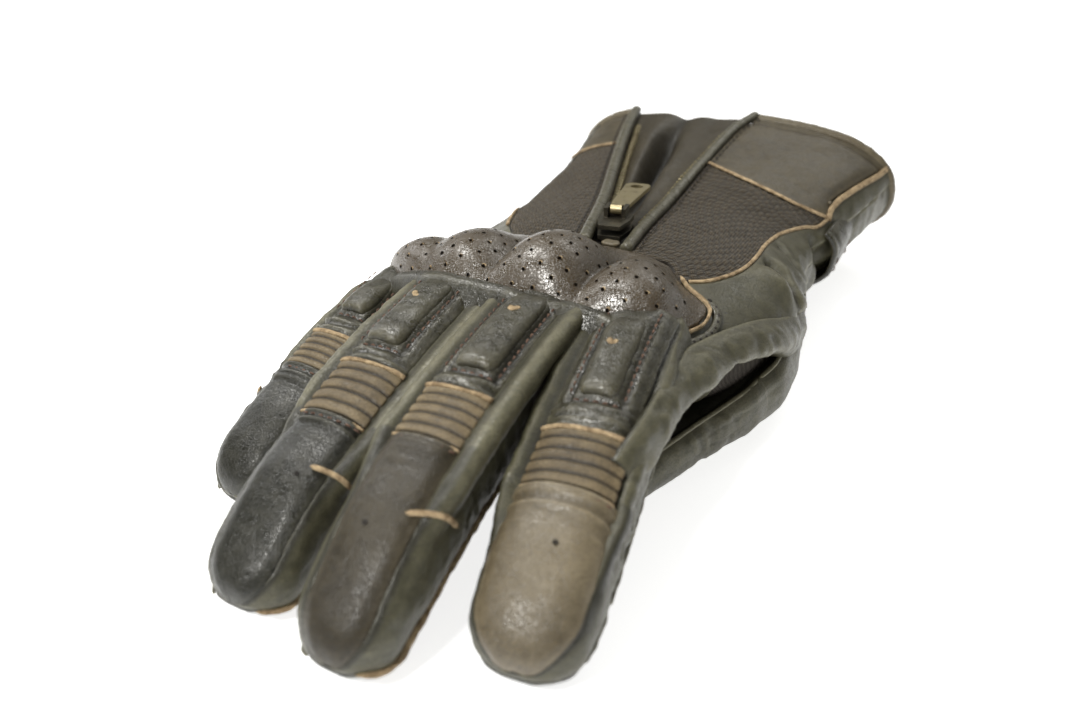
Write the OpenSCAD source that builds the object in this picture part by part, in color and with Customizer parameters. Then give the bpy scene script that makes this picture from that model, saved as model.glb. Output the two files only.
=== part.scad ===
// Right-hand motorcycle riding glove, palm down: fingers towards -Y, cuff towards +Y, thumb
// towards +X. Millimetres, z = 0 on the resting face of the palm patch. The modules are drawn
// with y = 0 under the middle of the knuckle guard; place() moves them to the origin.

/* [Leather] */
// Thickness of the outer leather panels
leather_t = 1.4; // [1:0.1:1.6]
// Gap left between two sewn panels
seam_gap = 0.4; // [0.3:0.1:0.8]
// Thickness of the loose textile lining
lining_t = 0.8; // [0.5:0.1:1]

/* [Fingers] */
// Length of the gap on the palm side of each finger joint
joint_gap = 9; // [8:0.5:11]
// Height of the padded bar on each finger back
bar_h = 2.2; // [1:0.1:3]
// Number of ribs in each finger flex panel
rib_count = 4; // [3:1:6]

/* [Knuckle guard] */
// Height of the knuckle bumps above the back of the hand
bump_h = 11; // [8:0.5:12]
// Height of the guard between two bumps
valley_h = 2.6; // [2:0.2:4]

/* [Zip] */
// Length of one zip tooth pitch
tooth_pitch = 2.4; // [2:0.1:3]
// Length of the brass pull tab
pull_l = 30; // [18:1:32]
// Width of the slider body
slider_w = 9.4; // [8:0.2:10]

/* [Wrist strap] */
// Width of the hook-and-loop strap
strap_w = 22; // [16:1:24]
// How far the strap reaches across the palm side
strap_reach = 84; // [70:1:90]

/* [Hidden] */
$fn = 32;
half_gap = seam_gap / 2;
thin_leather_t = 1.1;
origin_y = 45;
dark_leather = "#4b4844";
brown_leather = "#5f574d";
olive_leather = "#5d584c";

// ---------------------------------------------------------------- tools
module place() {
    translate([0, -origin_y, 0]) children();
}

function signed_pow(value, power) = sign(value) * pow(abs(value), power);
function lerp(a, b, share) = a + (b - a) * share;
function clamp(value, low, high) = max(low, min(high, value));
function smooth(share) = let (c = clamp(share, 0, 1)) c * c * (3 - 2 * c);
// Even shares from 0 to 1
function steps(count) = [for (i = [0:count]) i / count];
function column(table, k) = [for (row = table) [row[0], row[k]]];
// Two triangles that share the diagonal a-c
function quad(a, b, c, d) = [[a, b, c], [a, c, d]];

// Closed slab between two equal grids of points
module slab(outer, inner) {
    last_row = len(outer) - 1;
    last_col = len(outer[0]) - 1;
    size = len(outer) * len(outer[0]);
    function o(i, j) = i * (last_col + 1) + j;
    function q(i, j) = size + o(i, j);
    points = [for (grid = [outer, inner]) for (row = grid) each row];
    skins = [for (i = [0:last_row - 1]) for (j = [0:last_col - 1]) each concat(
        quad(o(i, j), o(i, j + 1), o(i + 1, j + 1), o(i + 1, j)),
        quad(q(i, j), q(i + 1, j), q(i + 1, j + 1), q(i, j + 1)))];
    side_walls = [for (i = [0:last_row - 1]) each concat(
        quad(o(i, 0), o(i + 1, 0), q(i + 1, 0), q(i, 0)),
        quad(o(i, last_col), q(i, last_col), q(i + 1, last_col), o(i + 1, last_col)))];
    end_walls = [for (j = [0:last_col - 1]) each concat(
        quad(o(0, j), q(0, j), q(0, j + 1), o(0, j + 1)),
        quad(o(last_row, j), o(last_row, j + 1), q(last_row, j + 1), q(last_row, j)))];
    polyhedron(points, concat(skins, side_walls, end_walls));
}

// Slab whose two faces are point(row, column, near) and point(row, column, far)
module sheet(rows, columns, point, near = 0, far = leather_t) {
    function grid(level) = [for (r = rows) [for (c = columns) point(r, c, level)]];
    slab(grid(near), grid(far));
}

// ---------------------------------------------------------------- body of the hand
hand_power = 2.5; // squareness of the hand's cross-section
cuff_y = 153;
panel_end_y = cuff_y - 2; // the panels stop inside the cuff binding
back_end_y = 32.6;
wrist_start_y = 33.2;
thumb_edge_angle = 30.5; // thumb-side edge of the flank panel and cuff band
little_edge_angle = 151.5; // their little-finger-side counterpart

// [y, x of the little-finger side, x of the thumb side, z of the back]
hand_sections = [
    [-14, -48, 52, 45.4], [0, -51, 55, 44.6], [20, -51, 61, 42.8], [40, -49, 65, 42],
    [60, -46, 63, 40.5], [80, -44, 58, 39.5], [95, -43, 57.5, 40], [110, -43.5, 61, 41.5],
    [130, -46, 65.5, 44], [153, -49, 69, 47]];
little_outline = column(hand_sections, 1);
thumb_outline = column(hand_sections, 2);
back_outline = column(hand_sections, 3);
// [y, z of the palm]
palm_outline = [[-14, 18], [0, 9], [15, 3], [30, 1.8], [84, 1.8], [94, 4.2], [153, 4.2]];
function little_x(y) = lookup(y, little_outline);
function thumb_x(y) = lookup(y, thumb_outline);
function upper_z(y) = lookup(y, back_outline);
function lower_z(y) = lookup(y, palm_outline);

// How far the back of the hand falls away on the little-finger side
function shoulder_drop(x, y) =
    7.5 * pow(clamp((-13 - x) / 28, 0, 1.4), 1.5) * smooth((104 - y) / 58);

// Point of the hand: angle (0 thumb side, 90 back, 180 little side, 270 palm), depth inwards
function hand_point(angle, y, depth) = let (
    half_width = (thumb_x(y) - little_x(y)) / 2,
    mid_x = (thumb_x(y) + little_x(y)) / 2,
    half_height = (upper_z(y) - lower_z(y)) / 2,
    mid_z = (upper_z(y) + lower_z(y)) / 2,
    x = mid_x + (half_width - depth) * signed_pow(cos(angle), 2 / hand_power),
    squash = sin(angle) > 0 ? 1 - shoulder_drop(x, y) / half_height : 1)
    [x, y, mid_z + (half_height - depth) * signed_pow(sin(angle), 2 / hand_power) * squash];

// Angles at which the back and the palm pass over x, and the height of the back there
function back_angle(x, y) = let (
    half_width = (thumb_x(y) - little_x(y)) / 2,
    mid_x = (thumb_x(y) + little_x(y)) / 2)
    acos(signed_pow(clamp((x - mid_x) / half_width, -0.999, 0.999), hand_power / 2));
function palm_angle(x, y) = 360 - back_angle(x, y);
function back_z(x, y) = hand_point(back_angle(x, y), y, 0)[2];

// Panel along the stations ys, between the edge angles from(y) and to(y)
module hand_panel(ys, from, to, count, near = 0, far = leather_t) {
    sheet(ys, steps(count),
        function (y, around, depth) hand_point(lerp(from(y), to(y), around), y, depth),
        near, far);
}

// Finger-side edges of the hand leather, [x, y]
back_front = [[-60, 2], [-36, 0.8], [-13, -6.4], [13, -9.4], [38, -7.4], [60, -6]];
palm_front = [[-60, 8], [-36, 7.5], [-13, 0.5], [13, -2.5], [38, -0.5], [60, 0]];

// Seams on the back of the hand, [y, x]
zip_little_edge = [[29, 6.5], [63, -3], [105, -16], [142, -26], [153, -28]];
zip_thumb_edge = [[29, 17.5], [59, 14], [101, 11.5], [136, 13], [153, 17]];
flank_seam = [[33, 40], [36, 44], [47, 47.5], [67, 48], [83, 47.5], [98, 49.5], [111, 56]];
little_seam = [[33, -19], [45, -26.5], [65, -36], [83, -41.5], [121, -41.6]];

// Edge of the zip opening; side is -1 towards the little finger, 1 towards the thumb
function zip_x(side, y) = lookup(y, side < 0 ? zip_little_edge : zip_thumb_edge);
// Angle of the panel edge beside the zip
panel_clearance = 1.6;
function zip_edge_angle(side, y) = back_angle(zip_x(side, y) + side * panel_clearance, y);

// ---------------------------------------------------------------- hand panels
module back_panel() {
    function front_y(angle) = lookup(hand_point(angle, 0, 0)[0], back_front);
    color(dark_leather) sheet(steps(5), [for (share = steps(16)) lerp(32, 152, share)],
        function (along, angle, depth)
            hand_point(angle, lerp(front_y(angle), back_end_y, along), depth));
}

// Palm leather, wrapped up round the little-finger side to the back seam
module palm_panel() {
    start_angle = 153.5;
    // [y, x] of the thumb-side edge: sweeps round below the fingers, then straight up the palm
    edge = [[0, 26.4], [11, 30.6], [21, 34.2], [40, 39], [60, 39.6]];
    front_angle = palm_angle(edge[0][1], 0);
    function station(along, around) = let (
        angle = lerp(start_angle, front_angle, around),
        front_y = lookup(hand_point(angle, 0, 0)[0], palm_front))
        lerp(front_y, panel_end_y, along);
    color(dark_leather) sheet([0, 0.12, 0.25, 0.42, 0.56, 0.66, 0.8, 1], steps(16),
        function (along, around, depth) let (
            y = station(along, around),
            angle = lerp(start_angle, palm_angle(lookup(y, edge), y), around))
            hand_point(angle, y, depth));
}

// Leather over the ball of the thumb and the thumb side of the cuff
module thenar_panel() {
    color(dark_leather) hand_panel([54, 66, 76, 85, 95, 110, 130, panel_end_y],
        function (y) 388, function (y) palm_angle(40, y), 8);
}

// Soft gusset between the index finger and the thumb, folded under above the thumb
module thumb_web_gusset() {
    under_z = 27.6;
    // [x, z, outward x, outward z] round the fold
    function fold(y) = let (side = thumb_x(y) - 0.5, start = hand_point(26, y, 0)) [
        [start[0], start[2], 0.5, 0.9],
        [side - 1.6, (start[2] + 30.6) / 2 + 0.3, 0.8, 0.5],
        [side - 0.6, 30.4, 1, 0],
        [side - 2.4, 28.2, 0.7, -0.7],
        [side - 8, under_z, 0, -1],
        [44, under_z, 0, -1],
        [34, under_z, 0, -1]];
    color("#6b6456") sheet([-5, 4, 14, 24, 34, 44, 51], [0:6],
        function (y, k, depth) let (p = fold(y)[k]) [p[0] - p[2] * depth, y, p[1] - p[3] * depth],
        0, thin_leather_t);
}

flank_stations = [wrist_start_y, 40, 50, 62, 74, 86, 98, 109];

module flank_panel() {
    color(dark_leather) hand_panel(flank_stations,
        function (y) back_angle(lookup(y, flank_seam) + half_gap, y),
        function (y) thumb_edge_angle, 5);
}

module wrist_flex_thumb() {
    color(brown_leather) hand_panel(flank_stations,
        function (y) zip_edge_angle(1, y),
        function (y) back_angle(lookup(y, flank_seam) - half_gap, y), 6);
}

module wrist_flex_little() {
    color(brown_leather) hand_panel([wrist_start_y, 45, 58, 72, 86, 100, 120.5],
        function (y)
            min(little_edge_angle, back_angle(lookup(y, little_seam) + half_gap, y)),
        function (y) zip_edge_angle(-1, y), 6);
}

module cuff_band_thumb() {
    color(brown_leather) hand_panel([109.6, 118, 130, 142, panel_end_y],
        function (y) zip_edge_angle(1, y), function (y) thumb_edge_angle, 9);
}

module cuff_band_little() {
    color(brown_leather) hand_panel([121.1, 131, 142, panel_end_y],
        function (y) little_edge_angle, function (y) zip_edge_angle(-1, y), 6);
}

// Bound edge of the wrist opening, open at the zip
module cuff_binding() {
    color(dark_leather) hand_panel([cuff_y - 1.7, cuff_y],
        function (y) back_angle(zip_x(-1, y) - 2, y),
        function (y) 360 + back_angle(zip_x(1, y) + 2, y), 36, -0.5, leather_t + 2);
}

// ---------------------------------------------------------------- zip
zip_stations = [33.6, 44, 59, 75, 90, 105, 120, 136];

// Bellows below the open zip: two folds that deepen towards the cuff
module zip_gusset() {
    start_y = 34;
    inset = 0.9;
    function fold_z(y, across) = (y - start_y) / 116 * 2.2 * sin(720 * across);
    color(brown_leather) sheet([start_y, 46, 60, 76, 94, 112, 130, panel_end_y], steps(8),
        function (y, across, depth)
            let (x = lerp(zip_x(-1, y) + inset, zip_x(1, y) - inset, across))
            [x, y, back_z(x, y) - 5.1 + fold_z(y, across) - depth],
        0, 1);
}

// Six-sided bead along one edge of the zip opening
module welt_line(side) {
    ys = concat(zip_stations, [panel_end_y]);
    last = len(ys) - 1;
    function ring(y) = let (x = zip_x(side, y) + side * 0.1)
        [for (a = [0:60:300]) [x + 1.25 * cos(a), y, back_z(x, y) - 0.2 + 1.5 * sin(a)]];
    function corner(i, j) = i * 6 + j % 6;
    walls = [for (i = [0:last - 1]) for (j = [0:5]) each
        quad(corner(i, j + 1), corner(i, j), corner(i + 1, j), corner(i + 1, j + 1))];
    caps = [[for (j = [0:5]) corner(0, j)], [for (j = [5:-1:0]) corner(last, j)]];
    polyhedron([for (y = ys) each ring(y)], concat(walls, caps));
}

module zip_welts() {
    color("#6a6258") for (side = [-1, 1]) welt_line(side);
}

// Tape along one edge, shown in the opening and tucked under the leather
module tape_line(side) {
    shown = 2.6;
    tucked = 1.1;
    sheet(concat(zip_stations, [cuff_y - 3]), side > 0 ? [-shown, tucked] : [-tucked, shown],
        function (y, offset, depth) let (x = zip_x(side, y))
            [x + offset, y, back_z(x, y) - 2.7 - depth],
        0, 0.7);
}

module zip_tapes() {
    color("#2b2825") for (side = [-1, 1]) tape_line(side);
}

module tooth_line(side, stagger) {
    start_y = 57;
    count = floor((cuff_y - 9 - start_y) / tooth_pitch);
    for (i = [0:count - 1]) {
        y = start_y + stagger + i * tooth_pitch;
        x = zip_x(side, y);
        translate([x - side * 2.3, y, back_z(x, y) - 1.6]) cube([2, 1.1, 1.1], center = true);
    }
}

// The thumb-side row is staggered by half a pitch
module zip_teeth() {
    color("#8a7a55") {
        tooth_line(-1, 0);
        tooth_line(1, tooth_pitch / 2);
    }
}

// Stitched leather stop that closes the bottom of the zip
module zip_bottom_stop() {
    color(dark_leather) translate([12, 35.2, back_z(12, 35) - 1.35])
        cube([6, 3.2, 1.4], center = true);
}

// Slider frame, in a plane that follows the back of the hand
slider_at = [8.3, 45, 41.5];
slider_turn = [-2, 0, 9];
pin_y = 3;
pin_z = 5.2;
module at_slider() {
    translate(slider_at) rotate(slider_turn) children();
}

module zip_slider() {
    half_w = slider_w / 2;
    slot_z = 0.2;
    slot_h = 1.7;
    pin_l = 6.4;
    leg = [1.2, 5.2, 3];
    outline = [
        [-half_w + 1.4, -6], [half_w - 1.4, -6], [half_w, 0], [half_w, 5],
        [1.2, 6.4], [-1.2, 6.4], [-half_w, 5], [-half_w, 0]];
    diamond = [[-1.4, 0], [0, -1.8], [1.4, 0], [1.1, 2.2], [-1.1, 2.2]];
    color("#5c5a4c") at_slider() {
        // two plates either side of a slot
        difference() {
            translate([0, 0, -1.3]) linear_extrude(height = 4.6) polygon(outline);
            translate([-20, -20, slot_z]) cube([40, 40, slot_h]);
        }
        // diamond that joins the two plates between the tooth rows
        translate([0, 4, slot_z]) linear_extrude(height = slot_h) polygon(diamond);
        // bridge that carries the pull tab
        for (side = [-1, 1]) translate([side * 2.6 - leg[0] / 2, 0.4, 3.2]) cube(leg);
        translate([-pin_l / 2, pin_y, pin_z]) rotate([0, 90, 0]) cylinder(r = 0.7, h = pin_l);
    }
}

// Flat brass tab with a round hole, hung on the slider's bridge pin
module zip_pull() {
    tab_t = 1.2;
    neck_w = 3.4;
    end_y = pull_l - 4.6; // end of the outline from its own base, and hole centre from the pin
    shoulder_y = end_y - 1.8;
    outline = [
        [-2.8, 0.8], [-2.1, 0], [2.1, 0], [2.8, 0.8],
        [3.9, shoulder_y], [2.6, end_y], [-2.6, end_y], [-3.9, shoulder_y]];
    color("#a08c5a") at_slider() translate([0, pin_y, pin_z]) rotate([-4, 0, 0]) {
        difference() {
            union() {
                rotate([0, 90, 0]) cylinder(r = 1.5, h = neck_w, center = true);
                translate([-neck_w / 2, 0, -tab_t / 2]) cube([neck_w, 5, tab_t]);
                translate([0, 4, -tab_t / 2]) linear_extrude(height = tab_t) polygon(outline);
            }
            rotate([0, 90, 0]) cylinder(r = 0.75, h = 8, center = true);
            translate([0, end_y, -2]) cylinder(r = 2, h = 4);
        }
    }
}

// ---------------------------------------------------------------- knuckle guard
guard_x0 = -46;
guard_x1 = 52;
guard_columns = 44;
// Edges of the guard towards the fingers and towards the cuff, [x, y]
guard_front = [
    [guard_x0, 5], [-36, -2.5], [-24, -8], [-8, -12],
    [14, -13.2], [34, -12.2], [44, -8], [guard_x1, 1]];
guard_rear = [
    [guard_x0, 13], [-34, 22], [-20, 27], [0, 29.5],
    [20, 30], [34, 27.5], [44, 18], [guard_x1, 5]];
// Stations as shares of the way from the front edge to the rear edge
guard_shares = [0, 0.05, 0.12, 0.22, 0.34, 0.48, 0.64, 0.82, 1];
// Knuckle bumps: [centre x, height as a share of the highest one]
bumps = [[-35, 0.68], [-15.5, 0.62], [9.8, 1], [34.8, 0.52]];
bump_spread = 6.8;

// Height of the guard's crest, faded out at both ends
function crest(x) =
    smooth((x - guard_x0 + 0.5) / 5) * smooth((guard_x1 + 0.5 - x) / 12)
    * (valley_h + (bump_h - valley_h)
        * max([for (b = bumps) b[1] * exp(-pow((x - b[0]) / bump_spread, 2))]));
// Share of the crest height reached from front to rear
function swelling(share) = pow(max(0, sin(180 * pow(clamp(share, 0, 1), 0.59))), 0.8);

// Guard layer between two faces, each [lift off the hand, share of the crest height];
// inset leaves out that many rows and columns at each edge
module guard_layer(upper, lower, inset) {
    xs = [for (i = [inset:guard_columns - inset]) lerp(guard_x0, guard_x1, i / guard_columns)];
    shares = [for (j = [inset:len(guard_shares) - 1 - inset]) guard_shares[j]];
    sheet(xs, shares,
        function (x, share, face)
            let (y = lerp(lookup(x, guard_front), lookup(x, guard_rear), share))
            [x, y, back_z(x, y) + face[0] + crest(x) * face[1] * swelling(share)],
        upper, lower);
}

module guard_cover() {
    color("#64584b") guard_layer([1.6, 1], [0.7, 0.93], 0);
}

module guard_shell() {
    color("#26282a") guard_layer([0.55, 0.87], [0.35, 0.7], 1);
}

module guard_foam() {
    color("#8d8d86") guard_layer([0.25, 0.64], [0.12, 0], 1);
}

// Pale cut edge of the guard leather at its thumb end
module guard_edge_trim() {
    // [x, y, outward x, outward y]
    path = [
        [43.4, 22.6, 0.8, 0.6], [46.6, 17.4, 0.85, 0.52], [49.6, 12, 0.9, 0.43],
        [52.2, 7, 0.97, 0.24], [53, 2.4, 0.95, -0.3], [50.6, -2, 0.85, -0.52],
        [46.4, -8.6, 0.75, -0.66]];
    // [distance outwards, height of the upper face, height of the lower face]
    edges = [[0.3, 2, 0.5], [1.5, 1.8, 0.4]];
    color("#c9a877") sheet(path, edges,
        function (p, edge, face) [
            p[0] + edge[0] * p[2],
            p[1] + edge[0] * p[3],
            back_z(min(53.6, p[0]), p[1]) + edge[face]],
        1, 2);
}

// ---------------------------------------------------------------- palm side and lining
module palm_patch() {
    outline = [[-26, -34], [20, -34], [28, -14], [22, 24], [-18, 26], [-28, 6]];
    color(brown_leather) translate([-10, 58, 0]) linear_extrude(height = 1.5)
        offset(r = 8) offset(delta = -8) polygon(outline);
}

module lining_part(ys, from, to, count) {
    depth = leather_t + 0.9;
    hand_panel(ys, from, to, count, depth, depth + lining_t);
}

// Lining round the palm side up to the cuff, and under the back panel
module hand_lining() {
    color("#33302c") {
        lining_part([56, 66, 76, 85, 95, 110, 130, cuff_y - 3],
            function (y) 394, function (y) 150, 22);
        lining_part([-2, 8, 20, 31], function (y) 148, function (y) 34, 12);
    }
}

// Elastic band sewn inside the palm side of the wrist
module wrist_elastic() {
    half_width = 26;
    depth = leather_t + 2 + lining_t;
    color("#1f1f1f") hand_panel([86, 94, 95],
        function (y) palm_angle(half_width, y), function (y) palm_angle(-half_width, y),
        6, depth, depth + 1.2);
}

// ---------------------------------------------------------------- wrist strap
strap_y = 108;
strap_end_x = 66 - strap_reach;

module strap_loop_pad() {
    color("#2a2a2a") translate([-24, strap_y - 9, 3]) cube([38, 18, 0.9]);
}

// Round the thumb side of the cuff first, then flat across the palm side
module wrist_strap() {
    // [hand angle, height off the hand]
    wrap = [[0, 2.1], [-14, 2.1], [-28, 2.1], [-42, 2.3], [-56, 2.7], [-70, 3.3]];
    // [x, share of the strap width]
    flat = [[16, 1], [2, 1], [strap_end_x + 8, 0.96], [strap_end_x, 0.6]];
    turns = len(wrap);
    function wrap_point(row, side, depth) =
        hand_point(row[0], strap_y + side * strap_w / 2, depth - row[1]);
    function flat_point(row, side, rise) =
        [row[0], strap_y + side * row[1] * strap_w / 2, 0.3 + rise];
    color(dark_leather) sheet([0:turns + len(flat) - 1], [-1, 0, 1],
        function (k, side, level)
            k < turns ? wrap_point(wrap[k], side, level) : flat_point(flat[k - turns], side, level),
        0, 1.3);
}

module strap_hook_pad() {
    color("#202020") translate([-17, strap_y - 7.5, 1.85]) cube([30, 15, 0.8]);
}

// ---------------------------------------------------------------- fingers
finger_power = 2.5; // squareness of the finger's cross-section
// Each finger: [pivot x, pivot y, plan angle, length, s of the middle joint,
//     [[s, top z, bottom z], ...], [[s, half width], ...]], s being the distance from the pivot
INDEX = [38.2, -9, 6, 82.5, 44,
    [[-6, 46, 21], [0, 45.5, 21], [14, 43, 20], [29, 38.5, 16.6], [44, 33, 11],
        [54, 29, 7], [64, 25, 3.6], [73, 19.5, 1.4]],
    [[-6, 12.6], [5, 12.6], [29, 13], [44, 13.4], [64, 13.6], [73, 13]]];
MIDDLE = [12.8, -11, 0, 94.5, 46,
    [[-6, 46.5, 20], [0, 46.5, 20], [15, 45, 20], [30, 42.5, 18.5], [45, 39, 16],
        [55, 36, 13.4], [65, 32.5, 10], [75, 27.5, 6], [84, 21, 2.2]],
    [[-6, 12.4], [5, 12.4], [30, 12.8], [60, 13], [84, 12.4]]];
RING = [-13, -8, -3, 91, 44,
    [[-6, 45, 18], [0, 44.8, 18], [15, 42.5, 17], [30, 39, 15], [45, 34.5, 12],
        [55, 31, 8.6], [65, 28, 5], [75, 23, 2], [81, 18.5, 1.2]],
    [[-6, 12.4], [5, 12.4], [30, 12.9], [55, 12.9], [81, 12.2]]];
LITTLE = [-37.4, -1, -5, 68.5, 34,
    [[-6, 38, 13], [0, 37.6, 13], [16, 34, 11.5], [31, 29.5, 8], [41, 26, 5.4],
        [51, 22.6, 3], [59, 18.6, 1.4]],
    [[-6, 10.6], [5, 10.6], [16, 11], [41, 11.2], [59, 10.6]]];
THUMB = [54, 45, -14, 82, 44,
    [[-6, 26, 1.6], [5, 25.6, 1.4], [20, 23.6, 1], [35, 20.6, 0.8], [50, 17.6, 0.6],
        [60, 15.6, 0.6], [70, 13.4, 1]],
    [[-6, 14.6], [5, 15], [15, 15], [25, 14], [35, 13], [50, 12.4], [70, 11]]];
// Sideways swell of the thumb base towards the outside, [s, offset]
thumb_swell = [[5, 4], [15, 4.3], [25, 2.4], [38, 0.3], [50, 0]];

function finger_length(finger) = finger[3];
function joint_at(finger) = finger[4];
// Where the rounded end begins
function tip_start(finger) = finger[5][len(finger[5]) - 1][0];

// Point of a finger: s from the pivot, angle (0 thumb side, 90 back, 270 palm), depth inwards
function finger_point(finger, s, angle, depth) = let (
    turn = finger[2],
    start = tip_start(finger),
    rounded = s > start,
    past = (s - start) / (finger_length(finger) - depth - start),
    shrink = rounded ? sqrt(max(0, 1 - pow(past, 2))) : 1,
    top = lookup(s, column(finger[5], 1)),
    bottom = lookup(s, column(finger[5], 2)),
    middle = (top + bottom) / 2,
    mid_z = rounded ? lerp(middle, bottom + (top - bottom) * 0.4, past) : middle,
    swell = finger == THUMB ? lookup(s, thumb_swell) : 0,
    half_width = lookup(s, finger[6]) - depth,
    half_height = (sin(angle) > 0 ? top - mid_z : mid_z - bottom) - depth,
    across = half_width * shrink * signed_pow(cos(angle), 2 / finger_power) + swell,
    up = half_height * shrink * signed_pow(sin(angle), 2 / finger_power))
    [finger[0] + sin(turn) * s + cos(turn) * across,
        finger[1] - cos(turn) * s + sin(turn) * across,
        mid_z + up];

// Panel between the pivot and the joint gap
module base_panel(finger, from, to, count, far = leather_t) {
    sheet([for (share = steps(3)) lerp(5, joint_at(finger) - joint_gap, share)], steps(count),
        function (s, around, depth) finger_point(finger, s, lerp(from, to, around), depth),
        0, far);
}

// Panel beyond the joint gap, out over the rounded end; its inner face ends short by the
// leather thickness. Rows are [s, share of the rounded end added to it]
module tip_panel(finger, from, to, count) {
    start = tip_start(finger);
    straight = [for (share = [0, 0.5, 1]) [lerp(joint_at(finger) + joint_gap, start, share), 0]];
    rounded = [for (a = [18, 36, 53, 69, 83]) [start, sin(a)]];
    sheet(concat(straight, rounded), steps(count),
        function (row, around, depth)
            let (s = row[0] + (finger_length(finger) - depth - start) * row[1])
            finger_point(finger, s, lerp(from, to, around), depth));
}

side_top = 42; // angle of the fourchettes' upper edge above the side of the finger
side_bottom = 52; // angle of their lower edge below it
gap_angle = 1.4;

module finger_back(finger) {
    color(dark_leather) base_panel(finger, side_top + gap_angle, 180 - side_top - gap_angle, 6);
}

// Side strips of the finger
module finger_fourchettes(finger) {
    color(olive_leather) {
        base_panel(finger, -side_bottom, side_top, 5, thin_leather_t);
        base_panel(finger, 180 - side_top, 180 + side_bottom, 5, thin_leather_t);
    }
}

module finger_palm(finger) {
    color(dark_leather)
        base_panel(finger, 180 + side_bottom + gap_angle, 360 - side_bottom - gap_angle, 4);
}

// Raised padded bar sewn on the finger back
module finger_bar_pad(finger) {
    start = 12;
    end = joint_at(finger) - joint_gap - 3;
    // [s, share of the bar height] and [angle, share of the bar height]
    rows = [[start - 2, 0.3], [start, 1], [lerp(start, end - 2, 0.5), 1], [end - 2, 1], [end, 0.3]];
    columns = [[62, 0.3], [66, 1], [78, 1], [102, 1], [114, 1], [118, 0.3]];
    color(dark_leather) sheet(rows, columns,
        function (row, col, height)
            finger_point(finger, row[0], col[0], -0.5 - height * min(row[1], col[1])),
        bar_h, 0);
}

// Ribbed flex panel over the middle joint, sewn to the near side of the joint
module finger_flex_ribs(finger) {
    start = joint_at(finger) - joint_gap + 0.6;
    end = joint_at(finger) + joint_gap - 2.4;
    rib_steps = 4;
    count = rib_count * rib_steps;
    function ribbed(i) = -0.9 - 0.7 * abs(sin(i * 180 / rib_steps));
    // face 1 is the ribbed one, face 0 the smooth underside
    color("#7d6f5c") sheet([0:count], steps(6),
        function (i, around, face) finger_point(finger, lerp(start, end, i / count),
            lerp(46, 134, around), face == 1 ? ribbed(i) : 0.4),
        1, 0);
}

module finger_tip_back(finger) {
    color(brown_leather) tip_panel(finger, 30 + gap_angle, 150 - gap_angle, 7);
}

module finger_tip_wrap(finger) {
    color(dark_leather) tip_panel(finger, 150, 390, 12);
}

// Edge angles of the thumb's two halves
thumb_back_span = [-60, 118];
thumb_palm_span = [120, 298];

module thumb_back() {
    color(olive_leather) base_panel(THUMB, thumb_back_span[0], thumb_back_span[1], 9);
}

module thumb_palm() {
    color(dark_leather) base_panel(THUMB, thumb_palm_span[0], thumb_palm_span[1], 9);
}

module thumb_tip_back() {
    color(olive_leather) tip_panel(THUMB, thumb_back_span[0], thumb_back_span[1], 9);
}

module thumb_tip_palm() {
    color(dark_leather) tip_panel(THUMB, thumb_palm_span[0], thumb_palm_span[1], 9);
}

// ---------------------------------------------------------------- output
place() back_panel();
place() palm_panel();
place() thenar_panel();
place() thumb_web_gusset();
place() flank_panel();
place() wrist_flex_little();
place() wrist_flex_thumb();
place() cuff_band_little();
place() cuff_band_thumb();
place() cuff_binding();
place() zip_gusset();
place() zip_welts();
place() zip_tapes();
place() zip_teeth();
place() zip_bottom_stop();
place() zip_slider();
place() zip_pull();
place() guard_cover();
place() guard_shell();
place() guard_foam();
place() guard_edge_trim();
place() palm_patch();
place() hand_lining();
place() wrist_elastic();
place() strap_loop_pad();
place() wrist_strap();
place() strap_hook_pad();
place() finger_back(INDEX);  // index_back
place() finger_bar_pad(INDEX);  // index_bar_pad
place() finger_flex_ribs(INDEX);  // index_flex_ribs
place() finger_fourchettes(INDEX);  // index_fourchettes
place() finger_palm(INDEX);  // index_palm
place() finger_tip_back(INDEX);  // index_tip_back
place() finger_tip_wrap(INDEX);  // index_tip_wrap
place() finger_back(MIDDLE);  // middle_back
place() finger_bar_pad(MIDDLE);  // middle_bar_pad
place() finger_flex_ribs(MIDDLE);  // middle_flex_ribs
place() finger_fourchettes(MIDDLE);  // middle_fourchettes
place() finger_palm(MIDDLE);  // middle_palm
place() finger_tip_back(MIDDLE);  // middle_tip_back
place() finger_tip_wrap(MIDDLE);  // middle_tip_wrap
place() finger_back(RING);  // ring_back
place() finger_bar_pad(RING);  // ring_bar_pad
place() finger_flex_ribs(RING);  // ring_flex_ribs
place() finger_fourchettes(RING);  // ring_fourchettes
place() finger_palm(RING);  // ring_palm
place() finger_tip_back(RING);  // ring_tip_back
place() finger_tip_wrap(RING);  // ring_tip_wrap
place() finger_back(LITTLE);  // little_back
place() finger_bar_pad(LITTLE);  // little_bar_pad
place() finger_flex_ribs(LITTLE);  // little_flex_ribs
place() finger_fourchettes(LITTLE);  // little_fourchettes
place() finger_palm(LITTLE);  // little_palm
place() finger_tip_back(LITTLE);  // little_tip_back
place() finger_tip_wrap(LITTLE);  // little_tip_wrap
place() thumb_back();
place() thumb_palm();
place() thumb_tip_back();
place() thumb_tip_palm();
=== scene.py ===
"""A padded leather glove for one hand, lying palm down on a white floor.
"""
import math
from types import SimpleNamespace

import bpy
import numpy as np
from mathutils import Matrix, Vector


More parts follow.
